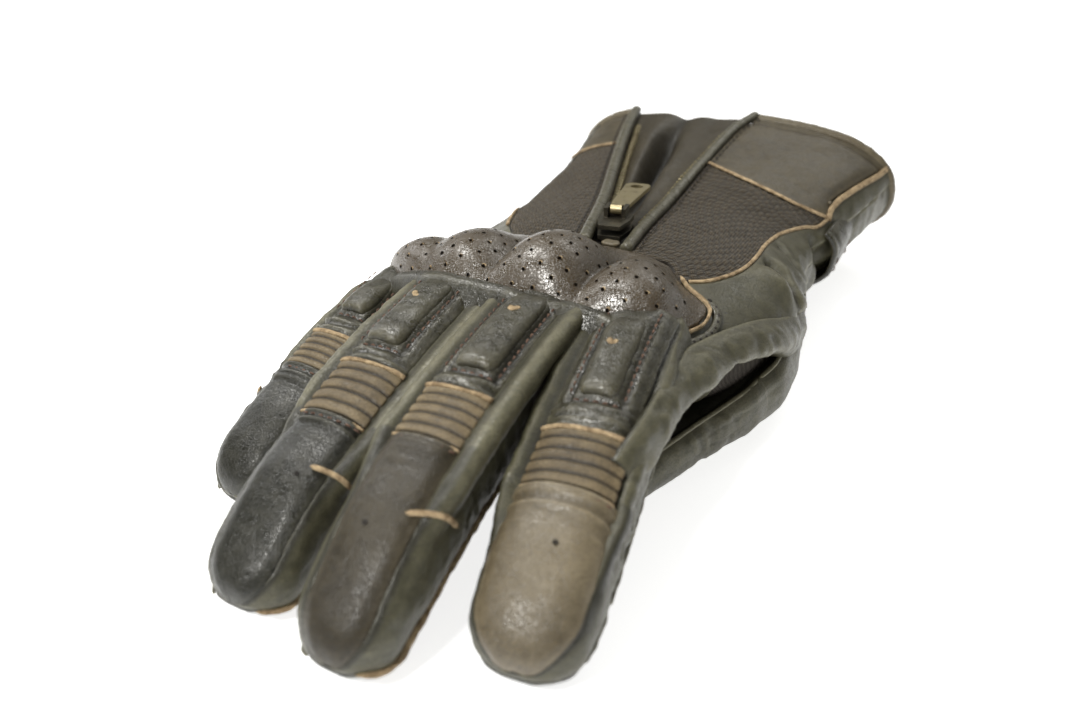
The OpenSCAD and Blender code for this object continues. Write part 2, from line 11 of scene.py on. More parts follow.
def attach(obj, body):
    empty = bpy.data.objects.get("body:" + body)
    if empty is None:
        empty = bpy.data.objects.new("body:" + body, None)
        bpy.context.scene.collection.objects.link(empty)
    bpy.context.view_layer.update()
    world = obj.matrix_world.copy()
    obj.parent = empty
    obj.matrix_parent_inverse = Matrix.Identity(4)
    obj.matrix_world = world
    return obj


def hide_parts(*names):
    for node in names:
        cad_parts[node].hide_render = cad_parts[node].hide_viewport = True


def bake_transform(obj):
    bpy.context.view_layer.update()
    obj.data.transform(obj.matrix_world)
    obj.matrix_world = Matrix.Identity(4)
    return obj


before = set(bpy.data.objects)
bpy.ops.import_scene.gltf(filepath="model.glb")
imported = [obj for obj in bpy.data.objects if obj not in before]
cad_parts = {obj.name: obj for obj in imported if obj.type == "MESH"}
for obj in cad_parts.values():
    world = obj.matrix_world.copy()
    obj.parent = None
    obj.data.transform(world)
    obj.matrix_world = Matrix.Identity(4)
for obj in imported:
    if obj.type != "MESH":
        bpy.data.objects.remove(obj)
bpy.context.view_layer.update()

MM = 0.001
REST_Y = 45.0           # modelling y that lies at y = 0 in the frame
SECTION = 2.5           # exponent of the rounded-square sections of hand and fingers
CUFF_Y = 151.5          # end of the leather at the wrist opening
STRAP_Y = 108.0
STRAP_WIDTH = 22.0
STRAP_REACH = 84.0


# ---------------------------------------------------------------- curves and blends
def curve(xs, ys):
    """Monotone cubic through the points, held constant outside them."""
    xs = np.asarray(xs, float)
    ys = np.asarray(ys, float)
    gaps = np.diff(xs)
    rates = np.diff(ys) / gaps
    slopes = np.zeros(len(xs))
    slopes[0], slopes[-1] = rates[0], rates[-1]
    for i in range(1, len(xs) - 1):
        if rates[i - 1] * rates[i] > 0:
            before, after = 2 * gaps[i] + gaps[i - 1], gaps[i] + 2 * gaps[i - 1]
            slopes[i] = (before + after) / (before / rates[i - 1] + after / rates[i])

    def value(x):
        x = np.clip(np.asarray(x, float), xs[0], xs[-1])
        i = np.clip(np.searchsorted(xs, x) - 1, 0, len(gaps) - 1)
        part = (x - xs[i]) / gaps[i]
        return (ys[i] * (1 + 2 * part) * (1 - part) ** 2
                + gaps[i] * slopes[i] * part * (1 - part) ** 2
                + ys[i + 1] * part * part * (3 - 2 * part)
                + gaps[i] * slopes[i + 1] * part * part * (part - 1))
    return value


def table(rows, column=1):
    return curve([row[0] for row in rows], [row[column] for row in rows])


def spow(value, power):
    """Power that keeps the sign."""
    return np.sign(value) * np.abs(value) ** power


def smooth(start, end, x):
    part = np.clip((np.asarray(x, float) - start) / (end - start), 0, 1)
    return part * part * (3 - 2 * part)


def bell(x, centre, width):
    return np.exp(-((np.asarray(x, float) - centre) / width) ** 2)


def mix(start, end, part):
    return start + (end - start) * part


def quarter(part):
    """Falls from 1 to 0 along a quarter circle as part goes from 0 to 1."""
    return np.sqrt(np.clip(1 - part ** 2, 0, 1))


def unit(vectors):
    vectors = np.asarray(vectors, float)
    return vectors / (np.linalg.norm(vectors, axis=-1, keepdims=True) + 1e-12)


def in_metres(pts):
    return (np.asarray(pts, float) - np.array([0.0, REST_Y, 0.0])) * MM


# ---------------------------------------------------------------- noise
GRADIENTS = np.array([
    [1, 1, 0], [-1, 1, 0], [1, -1, 0], [-1, -1, 0], [1, 0, 1], [-1, 0, 1],
    [1, 0, -1], [-1, 0, -1], [0, 1, 1], [0, -1, 1], [0, 1, -1], [0, -1, -1]], float)
HASH_PRIMES = np.array([374761393, 668265263, 1440662683])


def noise(pts, seed=0):
    """Gradient noise on a unit lattice."""
    pts = np.asarray(pts, float)
    flat = pts.reshape(-1, 3)
    cell = np.floor(flat).astype(np.int64)
    part = flat - cell
    ease = part * part * part * (part * (part * 6 - 15) + 10)
    total = np.zeros(len(flat))
    for corner in np.ndindex(2, 2, 2):
        code = (((cell + corner) * HASH_PRIMES).sum(1) + seed * 974634777) & 0xFFFFFFFF
        code = ((code ^ (code >> 13)) * 1274126177) & 0xFFFFFFFF
        grads = GRADIENTS[(code ^ (code >> 16)) % 12]
        weight = np.where(corner, ease, 1 - ease).prod(1)
        total += weight * ((part - corner) * grads).sum(1)
    return total.reshape(pts.shape[:-1])


def fbm(pts, size, seed, octaves=3):
    """Noise summed over octaves; size is the widest lump."""
    gain, scale, total = 1.0, 1.0 / size, 0.0
    for octave in range(octaves):
        total = total + gain * noise(np.asarray(pts) * scale, seed + octave * 17)
        gain *= 0.5
        scale *= 2.07
    return total


def lines(pts, size, seed, width=0.1):
    """1 along a net of thin lines, 0 between them."""
    return bell(noise(np.asarray(pts) / size, seed), 0, width)


def creases(pts, seed, size):
    waves = noise(pts / size, seed) + 0.5 * noise(pts / (size * 0.45), seed + 1)
    return 0.45 - np.abs(np.clip(waves * 2.2, -1, 1))


def folds(reach, ang, centre, width, pitch, height, seed):
    """Crumpled folds across a finger, strongest round the station centre."""
    flat = 0 * reach
    waves = noise(np.stack([reach / (pitch * 1.05), ang / 95.0, flat + seed], -1), seed)
    finer = np.stack([reach / (pitch * 0.45), ang / 50.0, flat + 7.3], -1)
    waves = waves + 0.5 * noise(finer, seed + 5)
    sharp = 1 - np.abs(np.clip(waves * 2.4, -1, 1))
    return height * bell(reach, centre, width) * (sharp - 0.55)


# ---------------------------------------------------------------- hand form
# x or z of the hand's outline at stations along y
HAND_Y = [-14, 0, 20, 40, 60, 80, 95, 110, 130, 153]
little_side_x = curve(HAND_Y, [-48, -51, -51, -49, -46, -44, -43, -43.5, -46, -49])
thumb_side_x = curve(HAND_Y, [52, 55, 61, 65, 63, 58, 57.5, 61, 65.5, 69])
back_z = curve(HAND_Y, [45.4, 44.6, 42.8, 42, 40.5, 39.5, 40, 41.5, 44, 47])
palm_z = table([(-14, 18), (0, 9), (15, 3), (30, 1.8), (84, 1.8), (94, 4.2), (153, 4.2)])

# seams over the back: rows are y, x
zip_little_x = table([(29, 6.5), (63, -3), (105, -16), (142, -26), (153, -28)])
zip_thumb_x = table([(29, 17.5), (59, 14), (101, 11.5), (136, 13), (153, 17)])
little_seam_x = table([(33, -19), (45, -26.5), (65, -36), (83, -41.5), (121, -41.6)])
cuff_seam_x = table([(100, 55), (111, 56), (131, 61), (153, 66.5)])
flank_seam_x = table([
    (20, 36.6), (23.6, 40.7), (26.5, 43.1), (30.9, 45.5), (40, 48.5), (46.7, 49.0),
    (54.3, 48.8), (67.4, 48.0), (77, 48.2), (84.8, 50.0), (94.2, 53.4), (98, 55.0),
    (109, 57.5)])
# where the cuff bands begin: y over x on the thumb side, one y on the little-finger side
thumb_cuff_y = table([(12, 111.5), (31, 103.5), (46, 100.5), (58, 106)])
LITTLE_CUFF_Y = 121.0


def shoulder(x, y):
    """How far the back of the hand falls away on the little-finger side."""
    return 7.5 * np.clip((-13 - x) / 28, 0, 1.4) ** 1.5 * smooth(104, 46, y)


def hand_span(y):
    """Half width and centre x of the hand."""
    low, high = little_side_x(y), thumb_side_x(y)
    return (high - low) / 2, (high + low) / 2


def hand(ang, y, inset=0.0):
    """Point on the hand: ang is 0 on the thumb side, 90 on the back, 180 on the other side."""
    ang, y = np.broadcast_arrays(np.radians(np.asarray(ang, float)), np.asarray(y, float))
    half, centre = hand_span(y)
    depth, middle = (back_z(y) - palm_z(y)) / 2, (back_z(y) + palm_z(y)) / 2
    x = centre + (half - inset) * spow(np.cos(ang), 2 / SECTION)
    droop = np.where(np.sin(ang) > 0, 1 - shoulder(x, y) / depth, 1.0)
    z = middle + (depth - inset) * spow(np.sin(ang), 2 / SECTION) * droop
    return np.stack([x, y, z], -1)


def back_ang(x, y):
    """Angle round the hand at x on the back."""
    half, centre = hand_span(y)
    part = np.clip((np.asarray(x, float) - centre) / half, -0.999, 0.999)
    return np.degrees(np.arccos(spow(part, SECTION / 2)))


def palm_ang(x, y):
    return 360 - back_ang(x, y)


def top_z(x, y):
    return hand(back_ang(x, y), y)[..., 2]


def hand_normal(ang, y):
    ang, y = np.broadcast_arrays(np.asarray(ang, float), np.asarray(y, float))
    return unit(np.cross(hand(ang, y + 0.3) - hand(ang, y - 0.3),
                         hand(ang + 0.5, y) - hand(ang - 0.5, y)))


def on_back(x, y, lift=0.0):
    """Points lifted off the back of the hand, and their normals."""
    x, y = np.broadcast_arrays(np.asarray(x, float), np.asarray(y, float))
    ang = back_ang(x, y)
    normals = hand_normal(ang, y)
    return hand(ang, y) + normals * lift, normals


# ---------------------------------------------------------------- finger form
class Finger:
    """A finger from its root toward -y; stations called reach are mm from the root.

    profile rows are reach, top z, low z; widths and swell rows are reach and mm, swell being a
    shift sideways. turn leans the finger to +x, in degrees. The end rounds off after the last
    profile row. What else is passed describes the leather and is kept as attributes.
    """

    def __init__(self, name, root, turn, length, joint, joint_z, profile, widths, swell=None,
                 **leather):
        self.name, self.root, self.turn = name, root, math.radians(turn)
        self.length, self.joint, self.joint_z = length, joint, joint_z
        self.round_start = start = profile[-1][0]
        self.top, self.low = table(profile, 1), table(profile, 2)
        self.half = table(widths)
        self.swell = table(swell) if swell else None
        self.top_slope = float(self.top(start) - self.top(start - 4)) / 4
        self.low_slope = float(self.low(start) - self.low(start - 4)) / 4
        depth = float(self.top(start) - self.low(start))
        self.tip_radius = ((length - start) + depth / 2) / 2
        self.__dict__.update(leather)

    def point(self, reach, ang):
        """Point on the surface; the end rounds off along the slope it arrives with."""
        reach, ang = np.broadcast_arrays(np.asarray(reach, float), np.radians(ang))
        start = self.round_start
        part = np.clip((reach - start) / (self.length - start), 0, 1)
        shrink = np.sqrt(1 - part * part)
        past = np.clip(reach - start, 0, None) * (1 - 0.5 * part)
        top = self.top(reach) + self.top_slope * past
        low = np.maximum(self.low(reach) + 0.5 * self.low_slope * past, 0.3)
        middle = mix((top + low) / 2, low + (top - low) * 0.4, part)
        side = self.half(reach) * shrink * spow(np.cos(ang), 2 / SECTION)
        if self.swell is not None:
            side = side + self.swell(reach)
        depth = np.where(np.sin(ang) > 0, top - middle, middle - low)
        height = depth * shrink * spow(np.sin(ang), 2 / SECTION)
        lean, ahead = math.sin(self.turn), math.cos(self.turn)
        return np.stack([self.root[0] + lean * reach + ahead * side,
                         self.root[1] - ahead * reach + lean * side, middle + height], -1)

    def normal(self, reach, ang):
        reach, ang = np.asarray(reach, float), np.asarray(ang, float)
        down = self.point(reach + 0.2, ang) - self.point(reach - 0.2, ang)
        around = self.point(reach, ang + 0.6) - self.point(reach, ang - 0.6)
        return unit(np.cross(around, down))

    def raised(self, reach, ang, lift):
        lift = np.asarray(lift, float)
        return self.point(reach, ang) + self.normal(reach, ang) * lift[..., None]

    def tip_stations(self):
        """Stations that gather toward the rounded end."""
        part = np.linspace(0, 1, 26)[1:-1]
        start = self.round_start
        return start + (self.length - 0.02 - start) * np.sin(part * np.pi / 2 * 0.995)

    def over_tip(self, path, across):
        """Reach and angle at a length along the back and over the end; across is -1 to 1."""
        start = self.round_start
        turned = np.clip(path - start, 0, None) / self.tip_radius
        part = np.sqrt(np.clip(1 - across * across, 0, 1)) * np.sin(turned)
        reach = np.where(path <= start, path, start + (self.length - start) * part)
        shrink = np.sqrt(np.clip(1 - part * part, 1e-9, 1))
        ang = np.degrees(np.arccos(np.clip(np.abs(across) / shrink, 0, 1) ** (SECTION / 2)))
        ang = np.where(turned > np.pi / 2, -ang, ang)
        return reach, np.where(across >= 0, ang, 180 - ang)

    def tip_end(self):
        """Length along the back at which the tip panel's tongue ends, 97 degrees round."""
        return self.round_start + self.tip_radius * math.radians(97)

    def tip_half(self, path):
        """Half width of the tip's back panel, as a share of the finger's."""
        part = np.clip((path - (self.tip_end() - self.tongue)) / self.tongue, 0, 1)
        return (math.cos(math.radians(self.tip_seam)) ** (2 / SECTION)
                * np.sqrt(np.clip(1 - (part * 0.988) ** 2.3, 0, 1)))

    def ridge(self, reach, ang):
        """Height of the rounded leather ridges that stand beside the back panel."""
        rise = np.zeros_like(reach)
        for side, height, start, end, centre, width in self.ridges:
            centre = centre if side > 0 else 180 - centre
            fade = smooth(start - 1, start + 8, reach) * smooth(end + 9, end - 9, reach)
            turn = np.pi * np.clip((ang - centre) / (1.12 * width), -1, 1)
            rise = np.maximum(rise, height * fade * (0.5 + 0.5 * np.cos(turn)) ** 0.62)
        return rise

    def axis(self, reach, z):
        """Point on the axis in frame metres."""
        return Vector(((self.root[0] + math.sin(self.turn) * reach) * MM,
                       (self.root[1] - math.cos(self.turn) * reach - REST_Y) * MM, z * MM))

    def bend_root(self, ob, *parts, start=-10, end=9):
        """Bakes a piece's transform; it stands in for the finger's CAD parts named, which it
        hides.
        """
        if parts:
            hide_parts(*(f'{self.name}_{part}' for part in parts))
        height = self.root[2]
        self.axis(start, height)
        self.axis(end, height)
        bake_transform(ob)

    def bend_joint(self, ob, *parts):
        if parts:
            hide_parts(*(f'{self.name}_{part}' for part in parts))
        self.axis(self.joint - 11, self.joint_z)
        self.axis(self.joint + 11, self.joint_z)
        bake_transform(ob)


def ride(ob, *replaced):
    """Moves a piece with the hand; it stands in for the CAD parts named."""
    if replaced:
        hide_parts(*replaced)
    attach(ob, 'hand')


# seam: angle of the back panel's edge     ribs: reach of the ribbed panel
# pad_reach, pad_ang: extent of the bar pad on the first phalanx
# tip_start, tip_seam, tongue: reach, edge angle and tongue length of the tip's back panel
# palm_edges: angles of the palm leather   lip_start, lip_gap: outseam start, gap at the end
# rub, tip_rub: wear on the tip's panel and walls    raw_lips: outseams with a raw edge
# ridges rows: side (1 is +x), height, from, to, angle, width
# strips rows: reach, first angle, last angle; slant is their drift in reach
# nick, dot: reach and angle of the worn nick and the ring mark
INDEX = Finger(
    'index', root=(38.2, -9, 33), turn=6, length=82.5, joint=44, joint_z=20.5,
    profile=[(-12, 46, 21), (0, 45.5, 21), (14, 43, 20), (29, 38.5, 16.6), (44, 33, 11),
             (54, 29, 7), (64, 25, 3.6), (73, 19.5, 1.4)],
    widths=[(-6, 12.6), (5, 12.6), (29, 13), (44, 13.4), (64, 13.6), (73, 13)],
    seed=11, seam=44, ribs=(37.5, 51.5), pad_reach=(0.5, 29.5), pad_ang=(75, 110),
    tip_start=51.2, tip_seam=30, tongue=15, palm_edges=(216, 326), lip_start=60, lip_gap=9,
    rub=0.6, tip_rub=0.15, raw_lips='', tip_mat='tip_leather',
    ridges=[(1, 1.6, 6, 62, 28, 16), (-1, 3.7, -9, 58, 31, 17)],
    strips=[], slant=0, nick=(14.5, 95), dot=(64, 84))
MIDDLE = Finger(
    'middle', root=(12.8, -11, 33), turn=0, length=94.5, joint=46, joint_z=27.5,
    profile=[(-12, 46.5, 20), (0, 46.5, 20), (15, 45, 20), (30, 42.5, 18.5), (45, 39, 16),
             (55, 36, 13.4), (65, 32.5, 10), (75, 27.5, 6), (84, 21, 2.2)],
    widths=[(-6, 12.4), (5, 12.4), (30, 12.8), (60, 13), (84, 12.4)],
    seed=23, seam=55, ribs=(39.5, 54), pad_reach=(0, 33.5), pad_ang=(70, 111),
    tip_start=53.8, tip_seam=52, tongue=13, palm_edges=(216, 326), lip_start=34, lip_gap=1.6,
    rub=0.3, tip_rub=0.1, raw_lips='b', tip_mat='umber_leather',
    ridges=[(1, 4.4, -9, 66, 40, 20), (-1, 2.8, -9, 60, 40, 16)],
    strips=[(71, 70, 12)], slant=-6.0, nick=(12, 92), dot=(75, 95))
RING = Finger(
    'ring', root=(-13, -8, 32), turn=-3, length=91, joint=44, joint_z=23.5,
    profile=[(-12, 45, 18), (0, 44.8, 18), (15, 42.5, 17), (30, 39, 15), (45, 34.5, 12),
             (55, 31, 8.6), (65, 28, 5), (75, 23, 2), (81, 18.5, 1.2)],
    widths=[(-6, 12.4), (5, 12.4), (30, 12.9), (55, 12.9), (81, 12.2)],
    seed=37, seam=50, ribs=(36.5, 52.5), pad_reach=(1, 30.5), pad_ang=(77, 118),
    tip_start=52.3, tip_seam=47, tongue=13, palm_edges=(216, 326), lip_start=62, lip_gap=1.6,
    rub=0.1, tip_rub=0.05, raw_lips='b', tip_mat='black_leather',
    ridges=[(1, 4.0, -9, 62, 36, 19), (-1, 3.0, -9, 54, 36, 16)],
    strips=[(66.5, 72, 22)], slant=-2.5, nick=(13.5, 99), dot=(69, 80))
LITTLE = Finger(
    'little', root=(-37.4, -1, 26), turn=-5, length=68.5, joint=34, joint_z=18,
    profile=[(-12, 38.6, 13), (0, 37.6, 13), (16, 34, 11.5), (31, 29.5, 8), (41, 26, 5.4),
             (51, 22.6, 3), (59, 18.6, 1.4)],
    widths=[(-6, 10.6), (5, 10.6), (16, 11), (41, 11.2), (59, 10.6)],
    seed=51, seam=56, ribs=(26, 38), pad_reach=(2, 18.5), pad_ang=(72, 112),
    tip_start=37.8, tip_seam=42, tongue=10, palm_edges=(214, 328), lip_start=44, lip_gap=1.6,
    rub=0.1, tip_rub=0.05, raw_lips='', tip_mat='black_leather',
    ridges=[(1, 2.8, -9, 46, 42, 16), (-1, 1.6, 0, 36, 40, 16)],
    strips=[(20, 164, 200), (44, 150, 196)], slant=1.0, nick=None, dot=None)
THUMB = Finger(
    'thumb', root=(54, 45, 14), turn=-14, length=82, joint=44, joint_z=10,
    profile=[(-12, 27, 1.8), (5, 24.0, 1.4), (20, 20.0, 1), (35, 17.2, 0.8), (50, 15.4, 0.6),
             (60, 14.6, 0.6), (70, 12.8, 1)],
    widths=[(-12, 13.6), (-6, 14.6), (5, 15), (15, 15), (25, 14), (35, 13), (50, 12.4),
            (70, 11)],
    swell=[(-12, -3.4), (-2, -2.0), (5, -0.2), (10, 1.3), (16, 2.6), (22, 2.6), (28, 3.0),
           (35, 2.4), (50, 0.7), (70, 0)],
    seed=301)
FINGERS = (INDEX, MIDDLE, RING, LITTLE)


# ---------------------------------------------------------------- mesh building
MATS = {}
# rows that gather beside a rounded edge, mm from it
NEAR_EDGE = [0.0, 0.12, 0.3, 0.55, 0.85, 1.25, 1.75]


def grid_normals(pts, wrap=False):
    if wrap:
        across = np.roll(pts, -1, 1) - np.roll(pts, 1, 1)
    else:
        across = np.gradient(pts, axis=1)
    normals = np.cross(np.gradient(pts, axis=0), across)
    return normals / np.maximum(np.linalg.norm(normals, axis=-1, keepdims=True), 1e-9)


def grid_faces(rows, cols, first=0, wrap=False, flip=False):
    col = np.arange(cols if wrap else cols - 1)
    start = np.arange(rows - 1)[:, None] * cols + first
    here, beside = start + col, start + (col + 1) % cols
    quads = np.stack([here, beside, beside + cols, here + cols], -1).reshape(-1, 4)
    return quads[:, ::-1] if flip else quads


def slab_faces(rows, cols, wrap=False, start=True, end=True):
    """Faces of a slab whose outer grid comes first and whose inner grid follows."""
    count = rows * cols
    faces = [grid_faces(rows, cols, 0, wrap), grid_faces(rows, cols, count, wrap, True)]
    here = np.arange(cols if wrap else cols - 1)
    beside = (here + 1) % cols
    if start:
        faces.append(np.stack([beside, here, here + count, beside + count], -1))
    if end:
        here, beside = here + (rows - 1) * cols, beside + (rows - 1) * cols
        faces.append(np.stack([here, beside, beside + count, here + count], -1))
    if not wrap:
        side = np.arange(rows - 1) * cols
        faces.append(np.stack([side, side + cols, side + cols + count, side + count], -1))
        side = side + cols - 1
        faces.append(np.stack([side + cols, side, side + count, side + cols + count], -1))
    return np.concatenate(faces)


def capped(rings):
    """Vertices, quads and triangles of a tube with a fan over each end."""
    rows, cols = rings.shape[:2]
    verts = np.concatenate([rings.reshape(-1, 3), [rings[0].mean(0), rings[-1].mean(0)]])
    count, last = rows * cols, (rows - 1) * cols
    here = np.arange(cols)
    beside = (here + 1) % cols
    tris = np.concatenate([np.stack([beside, here, 0 * here + count], -1),
                           np.stack([last + here, last + beside, 0 * here + count + 1], -1)])
    return verts, grid_faces(rows, cols, 0, True), tris


def volume(verts, quads):
    a, b, c, d = (verts[quads[:, k]] for k in range(4))
    return (np.einsum('ij,ij->i', a, np.cross(b, c))
            + np.einsum('ij,ij->i', a, np.cross(c, d))).sum() / 6


def make(name, verts, quads, mat, attrs, tris=()):
    """A smooth mesh object; attribute rco holds rest coordinates in mm."""
    verts = np.asarray(verts, float)
    quads = np.asarray(quads, np.int64).reshape(-1, 4)
    tris = np.asarray(tris, np.int64).reshape(-1, 3)
    inside = volume(verts, quads) if len(quads) else 1.0
    a, b, c = (verts[tris[:, k]] for k in range(3))
    inside += np.einsum('ij,ij->i', a, np.cross(b, c)).sum() / 6
    if inside < 0:
        quads, tris = quads[:, ::-1], tris[:, ::-1]
    mesh = bpy.data.meshes.new(name)
    mesh.vertices.add(len(verts))
    mesh.vertices.foreach_set("co", in_metres(verts).astype(np.float32).ravel())
    mesh.loops.add(quads.size + tris.size)
    corners = np.concatenate([quads.ravel(), tris.ravel()]).astype(np.int32)
    mesh.loops.foreach_set("vertex_index", corners)
    mesh.polygons.add(len(quads) + len(tris))
    starts = [np.arange(len(quads)) * 4, len(quads) * 4 + np.arange(len(tris)) * 3]
    mesh.polygons.foreach_set("loop_start", np.concatenate(starts).astype(np.int32))
    mesh.update(calc_edges=True)
    mesh.validate()
    mesh.polygons.foreach_set("use_smooth", np.ones(len(mesh.polygons), bool))
    attrs.setdefault('rco', verts)
    for key, values in attrs.items():
        values = np.asarray(values, np.float32)
        kind, field = ('FLOAT_VECTOR', 'vector') if values.ndim == 2 else ('FLOAT', 'value')
        layer = mesh.attributes.new(key, kind, 'POINT')
        layer.data.foreach_set(field, values.ravel())
    mesh.materials.append(MATS[mat])
    ob = bpy.data.objects.new(name, mesh)
    bpy.context.scene.collection.objects.link(ob)
    return ob


def travelled(pts, axis=0):
    """Length run along the points, from 0."""
    steps = np.linalg.norm(np.diff(pts, axis=axis), axis=-1)
    return np.insert(np.cumsum(steps, axis), 0, 0, axis=axis)


def sample(where, run, rows):
    """Rows read at places along their run."""
    return np.stack([np.interp(where, run, rows[:, k]) for k in range(rows.shape[1])], -1)


def resample(rows, step):
    """Even steps along rows of point and normal; the length counts all columns."""
    run = travelled(rows)
    count = max(2, int(round(run[-1] / step)) + 1)
    return sample(np.linspace(0, run[-1], count), run, rows)


def smooth_path(points, count):
    points = np.array(points, float)
    run = travelled(points)
    places = np.linspace(0, run[-1], count)
    return np.stack([curve(run, points[:, k])(places) for k in range(points.shape[1])], -1)


def spaced(length, step, *radii):
    first, last = ([x for x in NEAR_EDGE if x < length * 0.3] if radius > 0 else [0.0]
                   for radius in radii)
    count = max(1, int(math.ceil((length - first[-1] - last[-1]) / step)))
    middle = np.linspace(first[-1], length - last[-1], count + 1)
    return np.concatenate([first[:-1], middle, [length - x for x in last[-2::-1]]]) / length


def edge_drop(dist, radius):
    if radius <= 0:
        return np.zeros_like(dist)
    return radius * (quarter(np.clip(1 - dist / radius, 0, 1)) - 1)


def sheet(surface, step, rims, sign=1):
    """Samples surface(row, col) over 0 to 1, with rows gathered at rounded edges.

    rims are edge radii at first row, last row, first column, last column; edges are distances
    to them in the same order, edge is the nearest, down and over the lengths run.
    """
    even = np.linspace(0, 1, 33)
    pts = surface(*np.meshgrid(even, even, indexing='ij'))
    height = np.linalg.norm(np.diff(pts, axis=0), axis=-1).sum(0).mean()
    width = np.linalg.norm(np.diff(pts, axis=1), axis=-1).sum(1).mean()
    row, col = np.meshgrid(spaced(height, step, *rims[:2]), spaced(width, step, *rims[2:]),
                           indexing='ij')
    pts = surface(row, col)
    down, over = travelled(pts, 0), travelled(pts, 1)
    edges = [down, down[-1:] - down, over, over[:, -1:] - over]
    drops = [edge_drop(dist, radius) for dist, radius in zip(edges, rims)]
    return SimpleNamespace(
        pts=pts, x=pts[..., 0], y=pts[..., 1], z=pts[..., 2], row=row, col=col,
        normals=grid_normals(pts) * sign, down=down, over=over, edges=edges,
        edge=np.minimum.reduce(edges), drop=np.minimum.reduce(drops))


def panel(name, surface, mat, shape, step, rims, thick, base=0.0, sign=1):
    """A leather panel; shape(net) gives its relief and its rubbing with painted shade, base lifts
    it off the surface.
    """
    net = sheet(surface, step, rims, sign)
    rise, wear = shape(net)
    rise = rise + np.zeros_like(net.row)
    edge = np.minimum.reduce([np.where(radius > 0, dist, 99.0)
                              for dist, radius in zip(net.edges, rims)])
    # rubbed pale band just inside each rounded edge, painted seam shade right at the edge
    wear = wear + 0.35 * bell(edge, 1.0, 0.7) - 0.7 * bell(edge, 0.0, 0.5)
    outer = net.pts + net.normals * (base + net.drop + rise)[..., None]
    inner = net.pts + net.normals * (base - thick + 0.85 * rise)[..., None]
    run = np.stack([net.down, net.over, 0 * net.down], -1).reshape(-1, 3)
    attrs = dict(rco=np.concatenate([net.pts.reshape(-1, 3)] * 2),
                 puv=np.concatenate([run, run]),
                 wear=np.concatenate([wear.ravel(), wear.ravel() * 0]))
    verts = np.concatenate([outer.reshape(-1, 3), inner.reshape(-1, 3)])
    return make(name, verts, slab_faces(*net.row.shape), mat, attrs)


def tube(finger, name, reaches, shape, count, closed=False):
    """A leather sleeve round a finger; closed adds a point over its end."""
    # angles that step evenly round the section
    ang = np.linspace(0, 360, 1441)
    run = travelled(finger.point(finger.joint * 0.6, ang))
    ang = np.interp(np.linspace(0, run[-1], count + 1)[:-1], run, ang)
    reach, ang = np.meshgrid(reaches, ang, indexing='ij')
    pts = finger.point(reach, ang)
    normals = grid_normals(pts, wrap=True)
    third = len(reaches) // 3
    outward = (pts - pts.mean(1, keepdims=True))[third]
    if (normals[third] * outward).sum(-1).mean() < 0:
        normals = -normals
    rise, wear = shape(reach, ang, pts)
    outer = pts + normals * rise[..., None]
    inner = pts + normals * (0.85 * rise - 1.1)[..., None]
    rows, cols = reach.shape
    verts = np.concatenate([outer.reshape(-1, 3), inner.reshape(-1, 3)])
    rest = np.concatenate([pts.reshape(-1, 3)] * 2)
    wear = np.concatenate([wear.ravel(), wear.ravel() * 0])
    tris = ()
    if closed:
        total, last = rows * cols, (rows - 1) * cols
        here = last + np.arange(cols)
        beside = last + (np.arange(cols) + 1) % cols
        tip = finger.point(finger.length + 0.02, 0.0)
        verts = np.concatenate([verts, [outer[-1].mean(0), inner[-1].mean(0)]])
        rest = np.concatenate([rest, [tip, tip]])
        wear = np.concatenate([wear, [wear[last], 0]])
        pole = 0 * here + 2 * total
        tris = np.concatenate([np.stack([here, beside, pole], -1),
                               np.stack([beside + total, here + total, pole + 1], -1)])
    return make(name, verts, slab_faces(rows, cols, True, end=not closed), 'side_leather',
                dict(rco=rest, wear=wear, puv=rest), tris)


def side_and_up(path, up):
    ahead = unit(np.gradient(path, axis=0))
    side = unit(np.cross(ahead, unit(up)))
    return side, np.cross(side, ahead)


def ribbon(name, path, up, mat, size, seed, sink=0.0, roundness=0.45, wobble=0.0, step=0.7,
           taper=0.0):
    """A rounded strip along path; size is its width and its height along up."""
    both = resample(np.concatenate([path, up], 1), step)
    path = both[:, :3]
    side, up = side_and_up(path, both[:, 3:])
    width, height = size
    ang = np.linspace(0, 2 * np.pi, 15)[:-1]
    across = spow(np.cos(ang), roundness * 1.6) * width / 2
    above = spow(np.sin(ang), roundness * 1.6) * height / 2
    count = len(path)
    narrow = np.ones(count)
    if taper > 0:
        from_end = np.minimum(np.arange(count), np.arange(count)[::-1]) * step
        narrow = np.sqrt(np.clip(from_end / taper, 0.02, 1))
    lift = height / 2 - sink + noise(path / 2.3, seed) * wobble
    rings = (path[:, None] + side[:, None] * across[None, :, None] * narrow[:, None, None]
             + up[:, None] * (above * narrow[:, None] + lift[:, None])[..., None])
    verts, quads, tris = capped(rings)
    # upper side paler as rubbed leather with painted light, the rest in painted shade
    wear = np.append(np.tile(np.where(np.sin(ang) > 0.3, 0.4, -0.2), count), [0, 0])
    return make(name, verts, quads, mat, dict(wear=wear), tris)


